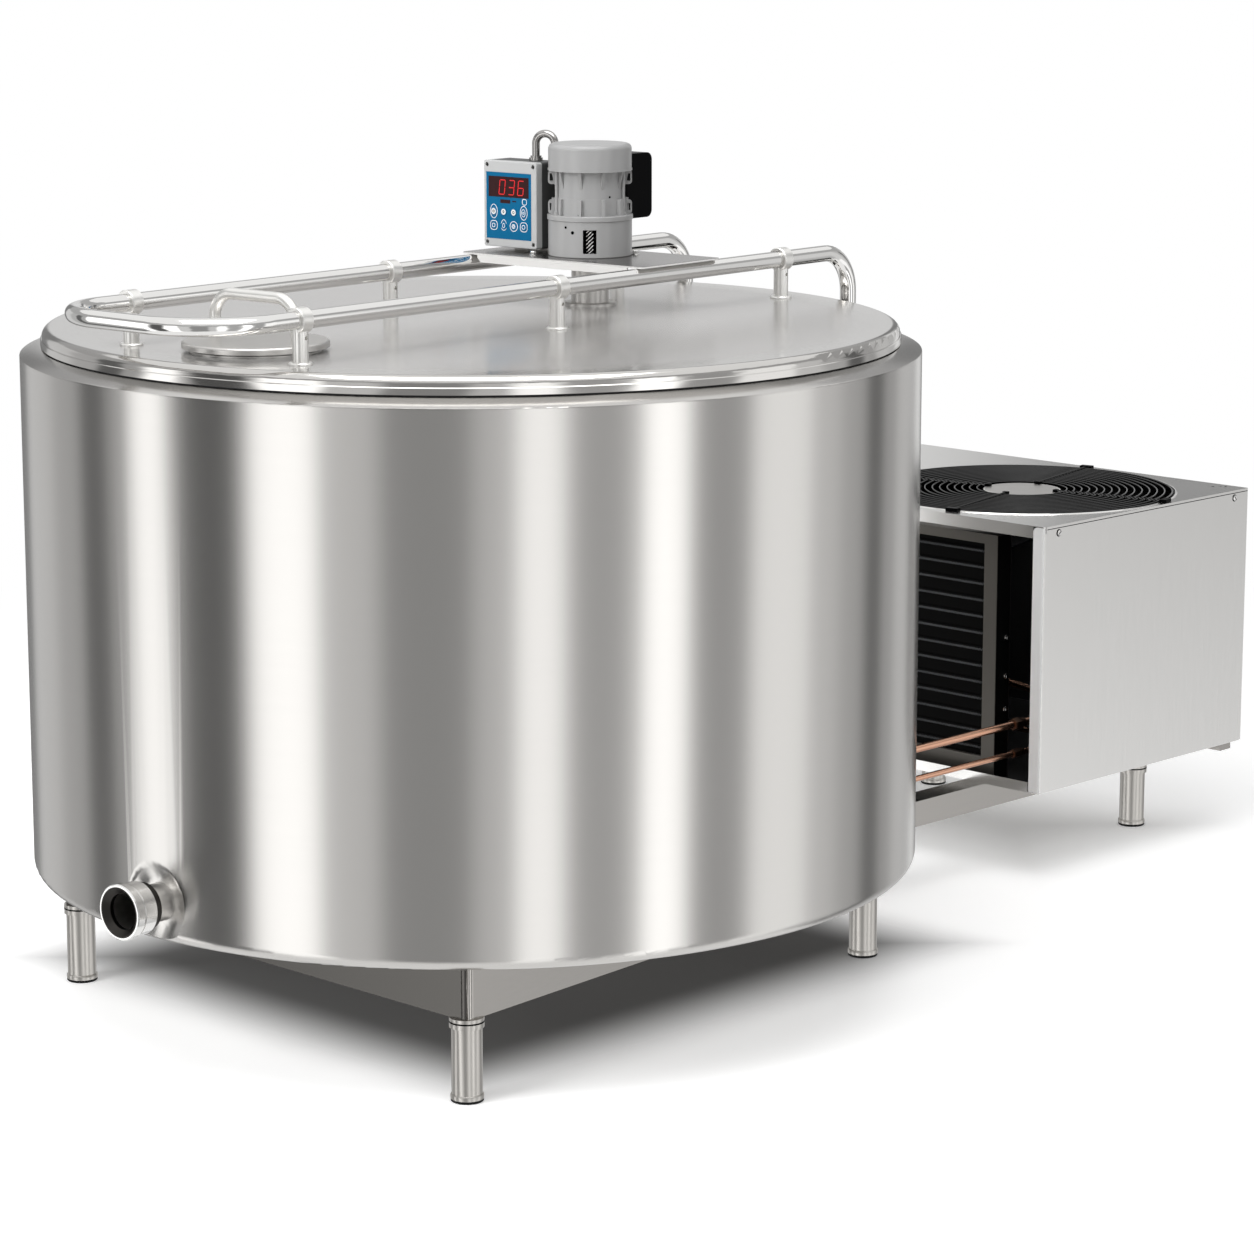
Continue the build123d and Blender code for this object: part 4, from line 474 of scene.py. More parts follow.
def smooth_group():
    """Node group that merges a node's loose triangles and shades them smooth up to a crease angle."""
    if "Weld and shade" in bpy.data.node_groups:
        return bpy.data.node_groups["Weld and shade"]
    tree = bpy.data.node_groups.new("Weld and shade", "GeometryNodeTree")
    tree.interface.new_socket("Geometry", in_out="INPUT", socket_type="NodeSocketGeometry")
    tree.interface.new_socket("Geometry", in_out="OUTPUT", socket_type="NodeSocketGeometry")
    source = tree.nodes.new("NodeGroupInput")
    merged = node(tree, "GeometryNodeMergeByDistance", None,
                  {"Geometry": source.outputs[0], "Distance": 0.00001})
    angle = node(tree, "GeometryNodeInputMeshEdgeAngle")
    sharp = node(tree, "FunctionNodeCompare", {"data_type": "FLOAT", "operation": "LESS_EQUAL"},
                 {0: angle.outputs["Unsigned Angle"], 1: math.radians(NODE_CREASE)})
    edges = node(tree, "GeometryNodeSetShadeSmooth", {"domain": "EDGE"},
                 {"Geometry": merged.outputs["Geometry"], "Shade Smooth": sharp.outputs["Result"]})
    faces = node(tree, "GeometryNodeSetShadeSmooth", {"domain": "FACE"}, {"Geometry": edges.outputs[0]})
    faces.inputs["Shade Smooth"].default_value = True
    sink = tree.nodes.new("NodeGroupOutput")
    tree.links.new(faces.outputs[0], sink.inputs[0])
    return tree


def dress_node(name, material):
    """Gives a CAD node its finish, welds it and weights its normals by face area."""
    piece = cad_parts[name]
    piece.data.materials.clear()
    piece.data.materials.append(material)
    weld = piece.modifiers.new("Weld and shade", "NODES")
    weld.node_group = smooth_group()
    weighted = piece.modifiers.new("Weighted normals", "WEIGHTED_NORMAL")
    weighted.keep_sharp = True
    weighted.mode = "FACE_AREA"


# Shapes worked out as arrays, each a pair of points and faces

def grid_faces(rows, columns, round_rows=False, round_columns=False):
    """Faces of a grid of points: a point, its neighbour along the row, and the two on the next row."""
    r, c = np.meshgrid(np.arange(rows if round_rows else rows - 1),
                       np.arange(columns if round_columns else columns - 1), indexing="ij")
    r2 = (r + 1) % rows
    c2 = (c + 1) % columns
    corners = [r * columns + c, r * columns + c2, r2 * columns + c2, r2 * columns + c]
    return np.stack(corners, -1).reshape(-1, 4)


def facing(axis):
    """Three directions as columns, the last one along the given axis."""
    ahead = np.array(axis, float) / np.linalg.norm(axis)
    side = np.cross((0.0, 0.0, 1.0) if abs(ahead[2]) < 0.9 else (1.0, 0.0, 0.0), ahead)
    side /= np.linalg.norm(side)
    return np.stack([side, np.cross(ahead, side), ahead], 1)


def lathe(profile, place=(0.0, 0.0, 0.0), axis=(0.0, 0.0, 1.0), segments=32, closed=False):
    """Profile of (radius, height) turned about an axis: r cos a along one side, r sin a along the other."""
    profile = np.array(profile, float)
    turn = np.linspace(0, 2 * np.pi, segments, endpoint=False) + np.pi / segments
    around = np.stack([np.cos(turn), np.sin(turn)], 1)
    flat = profile[:, None, 0, None] * around[None]
    up = np.broadcast_to(profile[:, None, 1, None], (len(profile), segments, 1))
    points = np.concatenate([flat, up], 2).reshape(-1, 3) @ facing(axis).T + np.array(place)
    return points, grid_faces(len(profile), segments, closed, True)


def tube(path, radius, around=8, closed=False):
    """A circle carried along a path, its frame square to the path and kept level with the vertical."""
    path = np.array(path, float)
    ahead = np.roll(path, -1, 0) - np.roll(path, 1, 0) if closed else np.gradient(path, axis=0)
    ahead /= np.linalg.norm(ahead, axis=1, keepdims=True)
    level = np.array([0.0, 0.0, 1.0]) if np.abs(ahead[:, 2]).max() < 0.95 else np.array([1.0, 0.0, 0.0])
    side = np.cross(ahead, level)
    side /= np.linalg.norm(side, axis=1, keepdims=True)
    up = np.cross(side, ahead)
    turn = np.linspace(0, 2 * np.pi, around, endpoint=False)
    ring = np.cos(turn)[None, :, None] * side[:, None] + np.sin(turn)[None, :, None] * up[:, None]
    points = (path[:, None] + radius * ring).reshape(-1, 3)
    return points, grid_faces(len(path), around, closed, True)


def capped_tube(path, radius, around=8):
    """A tube whose ends close to a point at the path's own ends."""
    path = np.array(path, float)
    wall = tube(path, radius, around)[0].reshape(-1, around, 3)
    start = np.repeat(path[:1][None], around, 1)
    end = np.repeat(path[-1:][None], around, 1)
    points = np.concatenate([start, wall, end]).reshape(-1, 3)
    return points, grid_faces(len(path) + 2, around, False, True)


def prism(outline, depth, place, axis):
    """A flat outline of (right, up) pairs given a thickness along an axis, both ends closed."""
    outline = np.array(outline, float)
    count = len(outline)
    frame_axes = facing(axis)
    near = outline @ frame_axes[:, :2].T + np.array(place)
    far = near + frame_axes[:, 2] * depth
    i = np.arange(count)
    j = (i + 1) % count
    sides = np.stack([i, j, j + count, i + count], 1).tolist()
    return np.concatenate([near, far]), sides + [i[::-1].tolist(), (i + count).tolist()]


def mm(*rows):
    """Rows of millimetres as an array in metres."""
    return np.array(rows, float) * MM


def slab(low, high):
    """A block between two corners, as eight points and six faces."""
    pick = np.array([[0, 0, 0], [1, 0, 0], [1, 1, 0], [0, 1, 0], [0, 0, 1], [1, 0, 1], [1, 1, 1], [0, 1, 1]])
    points = np.where(pick == 1, np.array(high, float), np.array(low, float))
    return points, np.array([[0, 3, 2, 1], [4, 5, 6, 7], [0, 1, 5, 4], [1, 2, 6, 5], [2, 3, 7, 6],
                             [3, 0, 4, 7]])


def band(outline, width, depth, place, axis):
    """A thin closed line: the outline drawn larger and smaller about its centre by half the width."""
    outline = np.array(outline, float)
    centre = outline.mean(0)
    reach = np.linalg.norm(outline - centre, axis=1, keepdims=True)
    outer = centre + (outline - centre) * (1 + width / 2 / reach)
    inner = centre + (outline - centre) * (1 - width / 2 / reach)
    axes = facing(axis)
    rings = [loop @ axes[:, :2].T + np.array(place) + axes[:, 2] * rise
             for loop, rise in ((inner, 0.0), (inner, depth), (outer, depth), (outer, 0.0))]
    return np.concatenate(rings), grid_faces(4, len(outline), True, True)


def hex_bolt(place, axis, across):
    """Hexagon head with a chamfered top on a round washer, all in proportion to the width across flats."""
    r = across / math.sqrt(3)
    base = across * 0.14
    flat = base + across * 0.62 * 0.84
    top = base + across * 0.62
    head = lathe([(0, base), (r, base), (r, flat), (r * 0.86, top), (0, top)], place, axis, 6)
    washer = [(0, 0), (r * 1.25, 0), (r * 1.25, base * 0.8), (r * 1.18, base), (0, base)]
    return [head, lathe(washer, place, axis, 28)]


def merged(parts):
    """Several shapes as one list of points and faces."""
    points = []
    faces = []
    start = 0
    for shape_points, shape_faces in parts:
        points.append(shape_points)
        faces.extend([[int(k) + start for k in face] for face in shape_faces])
        start += len(shape_points)
    return np.concatenate(points), faces


def turned_place(points):
    """From the tank's own axes to the floor's: turned by the tank's angle about its centre."""
    angle = sizes().tank_turn
    points = np.array(points, float)
    turned = points.copy()
    turned[..., 0] = points[..., 0] * math.cos(angle) - points[..., 1] * math.sin(angle) + TANK_X
    turned[..., 1] = points[..., 0] * math.sin(angle) + points[..., 1] * math.cos(angle) + TANK_Y
    return turned


def node_points(name):
    """All points of a CAD node as rows of x, y, z."""
    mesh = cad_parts[name].data
    flat = np.empty(len(mesh.vertices) * 3)
    mesh.vertices.foreach_get("co", flat)
    return flat.reshape(-1, 3)


def own_box(name):
    """Lowest and highest corners of a node along the tank's own axes, about the tank's centre."""
    points = node_points(name) - (TANK_X, TANK_Y, 0.0)
    angle = -sizes().tank_turn
    x = points[:, 0] * math.cos(angle) - points[:, 1] * math.sin(angle)
    y = points[:, 0] * math.sin(angle) + points[:, 1] * math.cos(angle)
    own = np.stack([x, y, points[:, 2]], 1)
    return own.min(0), own.max(0)


def add_piece(name, parts, material, body, on_tank=True, bevel=0.0, replaces=()):
    """Makes one piece of several shapes, welds it, turns its faces outwards and lets it ride on a body."""
    points, faces = merged(parts)
    if on_tank:
        points = turned_place(points)
    mesh = bpy.data.meshes.new(name)
    mesh.from_pydata(points.tolist(), [], faces)
    work = bmesh.new()
    work.from_mesh(mesh)
    bmesh.ops.remove_doubles(work, verts=work.verts, dist=1e-7)
    bmesh.ops.recalc_face_normals(work, faces=work.faces)
    work.to_mesh(mesh)
    work.free()
    mesh.shade_smooth()
    mesh.set_sharp_from_angle(angle=math.radians(PIECE_CREASE))
    mesh.materials.append(material)
    piece = bpy.data.objects.new(name, mesh)
    bpy.context.scene.collection.objects.link(piece)
    if bevel:
        rounding = piece.modifiers.new("Rounded edges", "BEVEL")
        rounding.width = bevel
        rounding.segments = 2
        rounding.limit_method = "ANGLE"
    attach(piece, body)
    for old in replaces:
        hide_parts(old)
    return piece


class COOLER_OT_finishes(bpy.types.Operator):
    """Give every CAD node its finish"""

    bl_idname = "cooler.finishes"
    bl_label = "Node finishes"

    def execute(self, context):
        FINISH.update(metal_finishes())
        FINISH.update(other_finishes())
        add_skins(FINISH)
        for finish, names in NODE_FINISH.items():
            for name in names.split():
                dress_node(name, FINISH[finish])
        return {"FINISHED"}


# Control box

# Lit bars of each digit, and the corners that each bar joins: (right, down) as shares of the digit's size
SEGMENTS = {"0": "abcdef", "3": "abcdg", "6": "acdefg"}
BARS = {"a": ((0, 0), (1, 0)), "b": ((1, 0), (1, 0.5)), "c": ((1, 0.5), (1, 1)), "d": ((0, 1), (1, 1)),
        "e": ((0, 0.5), (0, 1)), "f": ((0, 0), (0, 0.5)), "g": ((0, 0.5), (1, 0.5))}
DIGIT_LEAN = 0.12

# The film's print, in millimetres right of and down from its top left corner, then width and height
DISPLAY_WINDOW = (4.5, 6.1, 80.6, 30.8)
DISPLAY_STRIPS = ((28.0, 40.5, 20.0, 5.6), (52.0, 41.5, 8.0, 2.0))
DIGITS_SHOWN = "036"
DIGIT_LEFT = 25.5
DIGIT_TOP = 11.2
DIGIT_PITCH = 18.6
DIGIT_SIZE = (10.8, 21.5)
DIGIT_BAR = 1.45
BARE_OUTLINE = (76.5, 42.4)
# Outlines printed on the film: the key each surrounds, or None for the bare one, its shape and its half size
FILM_OUTLINES = ((1, "oval", 8.0), (4, "oval", 8.0), (None, "house", 4.6), (5, "house", 7.4),
                 (6, "drop", 7.4), (7, "ring", 7.4), (8, "house", 7.4))
# Marks on the keys: dark ones on white discs for the first three, then white ones with their half size
DARK_MARKS = {1: "house", 2: "drop", 3: "ring"}
WHITE_MARKS = {4: ("oval", 4.2), 5: ("house", 3.0), 6: ("drop", 3.0), 7: ("ring", 3.0), 8: ("ring", 3.0)}
RINGED_KEYS = (4, 7)
KEY_DISC_R = 4.6
# How thick the print stands on film and keys
INK = 0.12 * MM
# Box screws: how far in from the cover's edges
SCREW_INSET = 6.5
# The way that the box's front looks, in the tank's own axes
FILM_OUT = (-1.0, 0.0, 0.0)


def digit_bars(character, left, top, wide, high, thick):
    """Seven-segment digit leaning right: each lit bar is a six-sided sliver between two of its corners."""
    bars = []
    for letter in SEGMENTS[character]:
        (u0, v0), (u1, v1) = BARS[letter]
        start = np.array([left + u0 * wide + (1 - v0) * DIGIT_LEAN * high, top - v0 * high])
        end = np.array([left + u1 * wide + (1 - v1) * DIGIT_LEAN * high, top - v1 * high])
        along = (end - start) / np.linalg.norm(end - start)
        across = np.array([-along[1], along[0]]) * thick / 2
        start = start + along * thick * 0.18
        end = end - along * thick * 0.18
        inset = along * thick / 2
        bars.append([start, start + inset + across, end - inset + across, end, end - inset - across,
                     start + inset - across])
    return bars


def polar_outline(shape, size):
    """Closed outline round the origin: radius as a function of the angle, one rule for each pictogram."""
    turn = np.linspace(0, 2 * np.pi, 40, endpoint=False)
    rules = {
        "ring": np.ones_like(turn),
        "drop": 0.82 + 0.3 * np.clip(np.sin(turn), 0, 1) ** 6 - 0.1 * np.cos(2 * turn),
        "house": 0.92 / (np.abs(np.cos(turn)) ** 3 + np.abs(np.sin(turn)) ** 3) ** (1 / 3),
        "oval": 1.0 / np.sqrt((np.cos(turn) / 0.86) ** 2 + (np.sin(turn) / 1.3) ** 2),
    }
    reach = rules[shape] * size
    return np.stack([np.cos(turn) * reach, np.sin(turn) * reach], 1)


def key_centre(number):
    """Middle of a key's outer face, in the tank's own axes."""
    low, high = own_box(f"key_{number}")
    centre = (low + high) / 2
    centre[0] = low[0]
    return centre


def on_film(corner, right, up, proud=0.0):
    """A place on the film, in millimetres right of, up from and proud of its top left corner."""
    return corner + np.array([-proud * MM, -right * MM, up * MM])


def box_on_film(corner, right, down, wide, tall, proud):
    """A flat block on the film, with its back 0.1 mm inside it."""
    return slab(on_film(corner, right + wide, -down - tall, proud), on_film(corner, right, -down, -0.1))


def fit_display(corner):
    """Tinted window and strips, and the lit digits as thin prisms on the window."""
    edge = 0.1 * MM
    window = box_on_film(corner, *DISPLAY_WINDOW, 0.25)
    add_piece("display_window", [window], FINISH["display"], "lid", bevel=edge)
    strips = [box_on_film(corner, *strip, 0.2) for strip in DISPLAY_STRIPS]
    add_piece("display_strip", strips, FINISH["display"], "lid", bevel=edge)
    axes = facing(FILM_OUT)
    bars = []
    for i, character in enumerate(DIGITS_SHOWN):
        for bar in digit_bars(character, DIGIT_LEFT + DIGIT_PITCH * i, -DIGIT_TOP, *DIGIT_SIZE, DIGIT_BAR):
            points = [on_film(corner, u, v, 0.25) for u, v in bar]
            outline = (np.array(points) - corner) @ axes[:, :2]
            bars.append(prism(outline, 0.15 * MM, on_film(corner, 0, 0, 0.25), FILM_OUT))
    add_piece("display_digits", bars, FINISH["lit_red"], "lid")


def mark_keys():
    """Dark marks on white discs for the first keys and white marks for the rest, each riding on its key."""
    for i, shape in DARK_MARKS.items():
        centre = key_centre(i)
        centre[0] -= 0.1 * MM
        mark = band(polar_outline(shape, 1.7 * MM), 1.0 * MM, 0.1 * MM, centre, FILM_OUT)
        add_piece(f"key_mark_{i}", [mark], FINISH["print_dark"], f"key_{i}")
    disc = mm((0, 0), (KEY_DISC_R, 0), (KEY_DISC_R, 0.1), (0, 0.12))
    for i in DARK_MARKS:
        face = lathe(disc, key_centre(i), FILM_OUT, 40)
        add_piece(f"key_face_{i}", [face], FINISH["key_abs"], f"key_{i}")
    for i, (shape, size) in WHITE_MARKS.items():
        centre = key_centre(i)
        marks = [band(polar_outline(shape, size * MM), 0.9 * MM, INK, centre, FILM_OUT)]
        if i in RINGED_KEYS:
            marks.append(band(polar_outline("ring", 1.5 * MM), 0.8 * MM, INK, centre, FILM_OUT))
        add_piece(f"key_mark_{i}", marks, FINISH["print_white"], f"key_{i}")


def outline_keys(corner):
    """White outlines printed on the film round the keys."""
    marks = []
    for i, shape, size in FILM_OUTLINES:
        centre = key_centre(i) if i else on_film(corner, BARE_OUTLINE[0], -BARE_OUTLINE[1])
        centre[0] = corner[0]
        marks.append(band(polar_outline(shape, size * MM), 1.0 * MM, INK, centre, FILM_OUT))
    add_piece("film_outlines", marks, FINISH["print_white"], "lid")


def fit_box_screws():
    """Cross-slotted screws sunk in the cover's corners."""
    low, high = own_box("control_cover")
    inset = SCREW_INSET * MM
    dome = mm((0, 0), (2.8, 0), (2.8, 1.2), (2.2, 1.9), (0, 2.1))
    heads = []
    slots = []
    for y in (low[1] + inset, high[1] - inset):
        for z in (low[2] + inset, high[2] - inset):
            heads.append(lathe(dome, (low[0] + 2.8 * MM, y, z), FILM_OUT, 24))
            spot = np.array([low[0] + 0.65 * MM, y, z])
            for right, up in ((1.9, 0.4), (0.4, 1.9)):
                slots.append(slab(spot - np.array([0, right, up]) * MM,
                                  spot + np.array([0.5, right, up]) * MM))
    add_piece("box_screws", heads, FINISH["dark_steel"], "lid")
    # The slots are black: painted shade in them
    add_piece("box_screw_slots", slots, FINISH["black_abs"], "lid")


class COOLER_OT_panel(bpy.types.Operator):
    """Fit the control box with its display, digits, key marks and screws"""

    bl_idname = "cooler.panel"
    bl_label = "Control panel"

    def execute(self, context):
        low, high = own_box("keypad_overlay")
        corner = np.array([low[0], high[1], high[2]])
        fit_display(corner)
        mark_keys()
        outline_keys(corner)
        fit_box_screws()
        return {"FINISHED"}


# Gearmotor

# Plugs and small holes of the case: angle round the motor in degrees, height over the case's top, how far
# beyond the case's radius, and their own radius, in millimetres
CASE_PLUGS = ((185.3, -8.0, 0.0, 2.0), (196.0, -15.4, 0.0, 2.6), (199.0, 2.0, 1.0, 1.5))
# The same for the motor's body, with the distance from its axis
BODY_PLUGS = ((255.0, 36.0, 51.5, 1.6), (202.0, 9.5, 52.5, 1.4))
# Bolts that show on the plate beside the motor, in the tank's own axes
PLATE_BOLTS = ((0.307, -0.0508), (0.2, 0.0589))
GEAR_LEAD = 40.0 * MM


def case_circle():
    """Middle and radius of the gearbox case, in the tank's own axes."""
    low, high = own_box("gearbox_housing")
    return (low[:2] + high[:2]) / 2, (high[1] - low[1]) / 2


def shade_window_recess():
    """Open black tray just inside the gearbox window's recess, as painted shade: a back and four thin walls.
    """
    axis, case_r = case_circle()
    gear_low, gear_high = own_box("window_gear")
    gear = (gear_low[:2] + gear_high[:2]) / 2 - axis
    azimuth = math.atan2(gear[1], gear[0])
    out = np.array([math.cos(azimuth), math.sin(azimuth), 0.0])
    side = np.array([-math.sin(azimuth), math.cos(azimuth), 0.0])
    up = np.array([0.0, 0.0, 1.0])
    middle = np.array([axis[0], axis[1], (gear_low[2] + gear_high[2]) / 2])
    half = 9.85 * MM
    tall = 17.3 * MM
    sheet = 0.3 * MM
    back = case_r - 23.8 * MM
    mouth = case_r - 2.6 * MM
    walls = []
    for u0, u1, v0, v1, r0, r1 in ((-half, half, -tall, tall, back, back + 0.4 * MM),
                                   (-half, -half + sheet, -tall, tall, back, mouth),
                                   (half - sheet, half, -tall, tall, back, mouth),
                                   (-half, half, -tall, -tall + sheet, back, mouth),
                                   (-half, half, tall - sheet, tall, back, mouth)):
        points, faces = slab((r0, u0, v0), (r1, u1, v1))
        points = middle + points[:, :1] * out + points[:, 1:2] * side + points[:, 2:] * up
        walls.append((points, faces))
    add_piece("window_shade_tray", walls, FINISH["black_abs"], "lid")


def add_pinion_crests():
    """Tooth crests of the pinion: seven helices, x = r cos(2 pi z / lead + a), y = r sin of the same."""
    low, high = own_box("window_gear")
    crest_r = (high[0] - low[0]) / 2 - 0.7 * MM
    rise = np.linspace(low[2] + 1.2 * MM, high[2] - 1.2 * MM, 60)
    strands = []
    for start in np.linspace(0, 2 * np.pi, 7, endpoint=False):
        swing = 2 * np.pi * rise / GEAR_LEAD + start
        crest = np.stack([np.cos(swing), np.sin(swing)], 1) * crest_r + (low[:2] + high[:2]) / 2
        strands.append(capped_tube(np.column_stack([crest, rise]), 1.0 * MM, 6))
    add_piece("pinion_crests", strands, FINISH["polished"], "pinion")


def add_case_plugs():
    """Black plugs round the case and the motor's body, and black discs of painted shade for their small
    holes.
    """
    axis, case_r = case_circle()
    case_top = own_box("gearbox_housing")[1][2]
    spots = [(degrees, height, case_r + extra * MM, r) for degrees, height, extra, r in CASE_PLUGS]
    spots += [(degrees, height, reach * MM, r) for degrees, height, reach, r in BODY_PLUGS]
    plugs = []
    for degrees, height, reach, r in spots:
        a = math.radians(degrees)
        way = (math.cos(a), math.sin(a), 0.0)
        spot = np.array([axis[0] + reach * way[0], axis[1] + reach * way[1], case_top + height * MM])
        plug = mm((0, -1.0), (r, -1.0), (r, 0.25), (r * 0.7, 0.4), (0, 0.1))
        plugs.append(lathe(plug, spot, way, 20))
    add_piece("case_plugs", plugs, FINISH["black_abs"], "lid")


def add_plate_screws():
    """Bolts that show on the plate, and the socket-head screw across the hub's clamp lug."""
    top = own_box("bridge_plate")[1][2]
    bolts = []
    for x, y in PLATE_BOLTS:
        bolts += hex_bolt((x, y, top), (0, 0, 1), 8.0 * MM)
    add_piece("plate_bolts", bolts, FINISH["polished"], "lid")
    lug = (own_box("agitator_hub")[1][0] - 8.0 * MM, 0.0, own_box("lid")[1][2] + 26.0 * MM)
    screw = mm((0, -9.5), (2.6, -9.5), (2.6, 6), (4.6, 6), (4.6, 10.5), (4.1, 11), (2.4, 11), (2.4, 8),
               (0, 8))
    add_piece("hub_clamp_screw", [lathe(screw, lug, (0, -1, 0), 24)], FINISH["dark_steel"], "lid")


class COOLER_OT_motor(bpy.types.Operator):
    """Put painted shade in the gearbox window and add the motor's plugs, clamp screw and plate bolts"""

    bl_idname = "cooler.motor"
    bl_label = "Motor details"

    def execute(self, context):
        shade_window_recess()
        add_pinion_crests()
        add_case_plugs()
        add_plate_screws()
        return {"FINISHED"}


# Fan guard and the condensing unit

GUARD_WIRE_R = 1.5 * MM
GUARD_LAST_RING = 253.0 * MM
GUARD_RING_COUNT = 15
GUARD_CLIP_SEAT = 263.0 * MM
FAN_HOLE_R = 258.0 * MM
# The guard's first spoke, in degrees; the other three follow at right angles
FIRST_SPOKE = 13.0
# The two wires of a spoke wind round each other once in this length
SPOKE_TWIST = 15.0 * MM


def guard_rings(centre, deck, hub_r):
    """Round wire rings, evenly spaced from the hub to the edge of the fan hole."""
    rings = []
    turn = np.linspace(0, 2 * np.pi, 120, endpoint=False)
    for r in np.linspace(hub_r + 10 * MM, GUARD_LAST_RING, GUARD_RING_COUNT):
        path = np.stack([r * np.cos(turn), r * np.sin(turn), np.full_like(turn, deck + GUARD_WIRE_R)],
                        1) + centre
        rings.append(tube(path, GUARD_WIRE_R * 0.94, 8, True))
    return rings


def guard_spoke(angle, centre, deck, hub_r):
    """Two wires wound as a helix: 1.25 mm off the spoke's middle line, at 2 pi of turn per twist."""
    way = np.array([math.cos(angle), math.sin(angle), 0.0])
    across = np.array([-math.sin(angle), math.cos(angle), 0.0])
    up = np.array([0, 0, 1.0])
    along = np.linspace(hub_r - 6 * MM, GUARD_CLIP_SEAT + 1 * MM, 200)
    wires = []
    for half_turn in (0.0, math.pi):
        swing = along / SPOKE_TWIST * 2 * np.pi + half_turn
        path = (centre + along[:, None] * way + 1.25 * MM * np.cos(swing)[:, None] * across
                + (deck + 2.6 * MM + 1.25 * MM * np.sin(swing))[:, None] * up)
        wires.append(capped_tube(path, 1.2 * MM, 6))
    return wires


def guard_clips(angle, centre, deck, hub_r):
    """A clip at each end of a spoke, each with a round knob beside the wires."""
    way = np.array([math.cos(angle), math.sin(angle), 0.0])
    across = np.array([-math.sin(angle), math.cos(angle), 0.0])
    up = np.array([0, 0, 1.0])
    clips = []
    for r, long_half, wide_half, tall in ((GUARD_CLIP_SEAT, 6.0, 11.0, 5.8),
                                          (hub_r - 3 * MM, 4.0, 5.0, 5.0)):
        points, faces = slab((-long_half * MM, -wide_half * MM, 0.0),
                             (long_half * MM, wide_half * MM, tall * MM))
        outward = (points[:, :1] + r) * way
        rise = (points[:, 2:] + deck) * up
        clips.append((centre + outward + points[:, 1:2] * across + rise, faces))
        knob = mm((0, 0), (3.0, 0), (3.0, tall), (2.2, tall + 0.2), (0, tall + 0.2))
        spot = centre + r * way + across * (wide_half - 3.5) * MM + np.array([0, 0, deck])
        clips.append(lathe(knob, spot, (0, 0, 1), 16))
    return clips


def add_fan_rims(centre, deck, hub_r):
    """Rolled bright rim of the fan hole, satin cap of the fan motor with its white edge, and inlet ring."""
    up = (0, 0, 1)
    turn = np.linspace(0, 2 * np.pi, 8, endpoint=False)
    rim = np.stack([FAN_HOLE_R + 1.6 * MM + 1.8 * MM * np.cos(turn), deck + 1.4 * MM * np.sin(turn)], 1)
    add_piece("fan_rim", [lathe(rim, centre, up, 144, True)], FINISH["polished"], "stand", False)
    cap_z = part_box("fan_motor")[1][2]
    cap_r = hub_r - 3.4 * MM
    cap = [(0, cap_z + 0.5 * MM), (cap_r, cap_z + 0.5 * MM), (cap_r, cap_z), (0, cap_z)]
    add_piece("fan_hub_cap", [lathe(cap, centre, up, 72)], FINISH["sheet"], "stand", False)
    edge = np.stack([hub_r - 2.0 * MM + 1.3 * MM * np.cos(turn), cap_z + 0.5 * MM * np.sin(turn)], 1)
    add_piece("fan_hub_edge", [lathe(edge, centre, up, 72, True)], FINISH["casting"], "stand", False)
    wall_r = FAN_HOLE_R - 2.6 * MM
    wall = [(FAN_HOLE_R - 0.4 * MM, deck - 0.6 * MM), (FAN_HOLE_R - 0.6 * MM, deck - 23 * MM),
            (wall_r, deck - 23 * MM), (wall_r, deck - 0.6 * MM)]
    ring = lathe(wall, centre, up, 96, True)
    add_piece("fan_inlet_ring", [ring], FINISH["black_enamel"], "stand", False)


class COOLER_OT_guard(bpy.types.Operator):
    """Wind the fan guard in round wire with twisted spokes and black clips"""

    bl_idname = "cooler.guard"
    bl_label = "Fan guard"

    def execute(self, context):
        hub_low, hub_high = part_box("fan_motor")
        centre = np.array([(hub_low[0] + hub_high[0]) / 2, (hub_low[1] + hub_high[1]) / 2, 0.0])
        hub_r = (hub_high[0] - hub_low[0]) / 2
        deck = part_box("fan_guard")[0][2]
        wires = guard_rings(centre, deck, hub_r)
        clips = []
        for i in range(4):
            angle = math.radians(FIRST_SPOKE + 90.0 * i)
            wires += guard_spoke(angle, centre, deck, hub_r)
            clips += guard_clips(angle, centre, deck, hub_r)
        add_piece("fan_guard_wire", wires, FINISH["black_wire"], "stand", False, replaces=("fan_guard",))
        add_piece("fan_guard_clips", clips, FINISH["black_abs"], "stand", False, bevel=0.6 * MM)
        add_fan_rims(centre, deck, hub_r)
        return {"FINISHED"}


# Pitch of the coil's tube rows, then step and half width of the zigzag that the fin edges make along each
COIL_PITCH = 27.4 * MM
FIN_STEP = 3.2 * MM
FIN_REACH = 1.9 * MM
# Plugs on the unit's top: in from its far edge, in from its near edge, radius, in millimetres
TOP_PLUGS = ((31.5, 49.9, 2.5), (20.0, 42.0, 1.6), (16.3, 34.0, 2.5))
# Heights of the bolts on the coil's frame
COIL_BOLTS_Z = (0.388, 0.3234, 0.268)


def add_fin_edges():
    """Corrugated fin edges, which show as a dotted light line along each tube: a zigzag ribbon."""
    low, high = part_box("condenser_coil")
    count = int((high[1] - low[1]) / FIN_STEP) * 2
    y = np.linspace(low[1] + 1 * MM, high[1] - 1 * MM, count)
    zigzag = np.where(np.arange(count) % 2 == 0, 1.0, -1.0)
    x = low[0] - 0.15 * MM
    ribbons = []
    for i in range(int(round((high[2] - low[2]) / COIL_PITCH))):
        z = low[2] + COIL_PITCH * (i + 0.5) + zigzag * FIN_REACH
        rows = np.stack([np.stack([np.full(count, x), y, z + 0.8 * MM], 1),
                         np.stack([np.full(count, x - 0.5 * MM), y, z], 1),
                         np.stack([np.full(count, x), y, z - 0.8 * MM], 1),
                         np.stack([np.full(count, x + 0.4 * MM), y, z], 1)])
        ribbons.append((rows.reshape(-1, 3), grid_faces(4, count, True, False)))
    add_piece("fin_edges", ribbons, FINISH["fin_metal"], "stand", False)


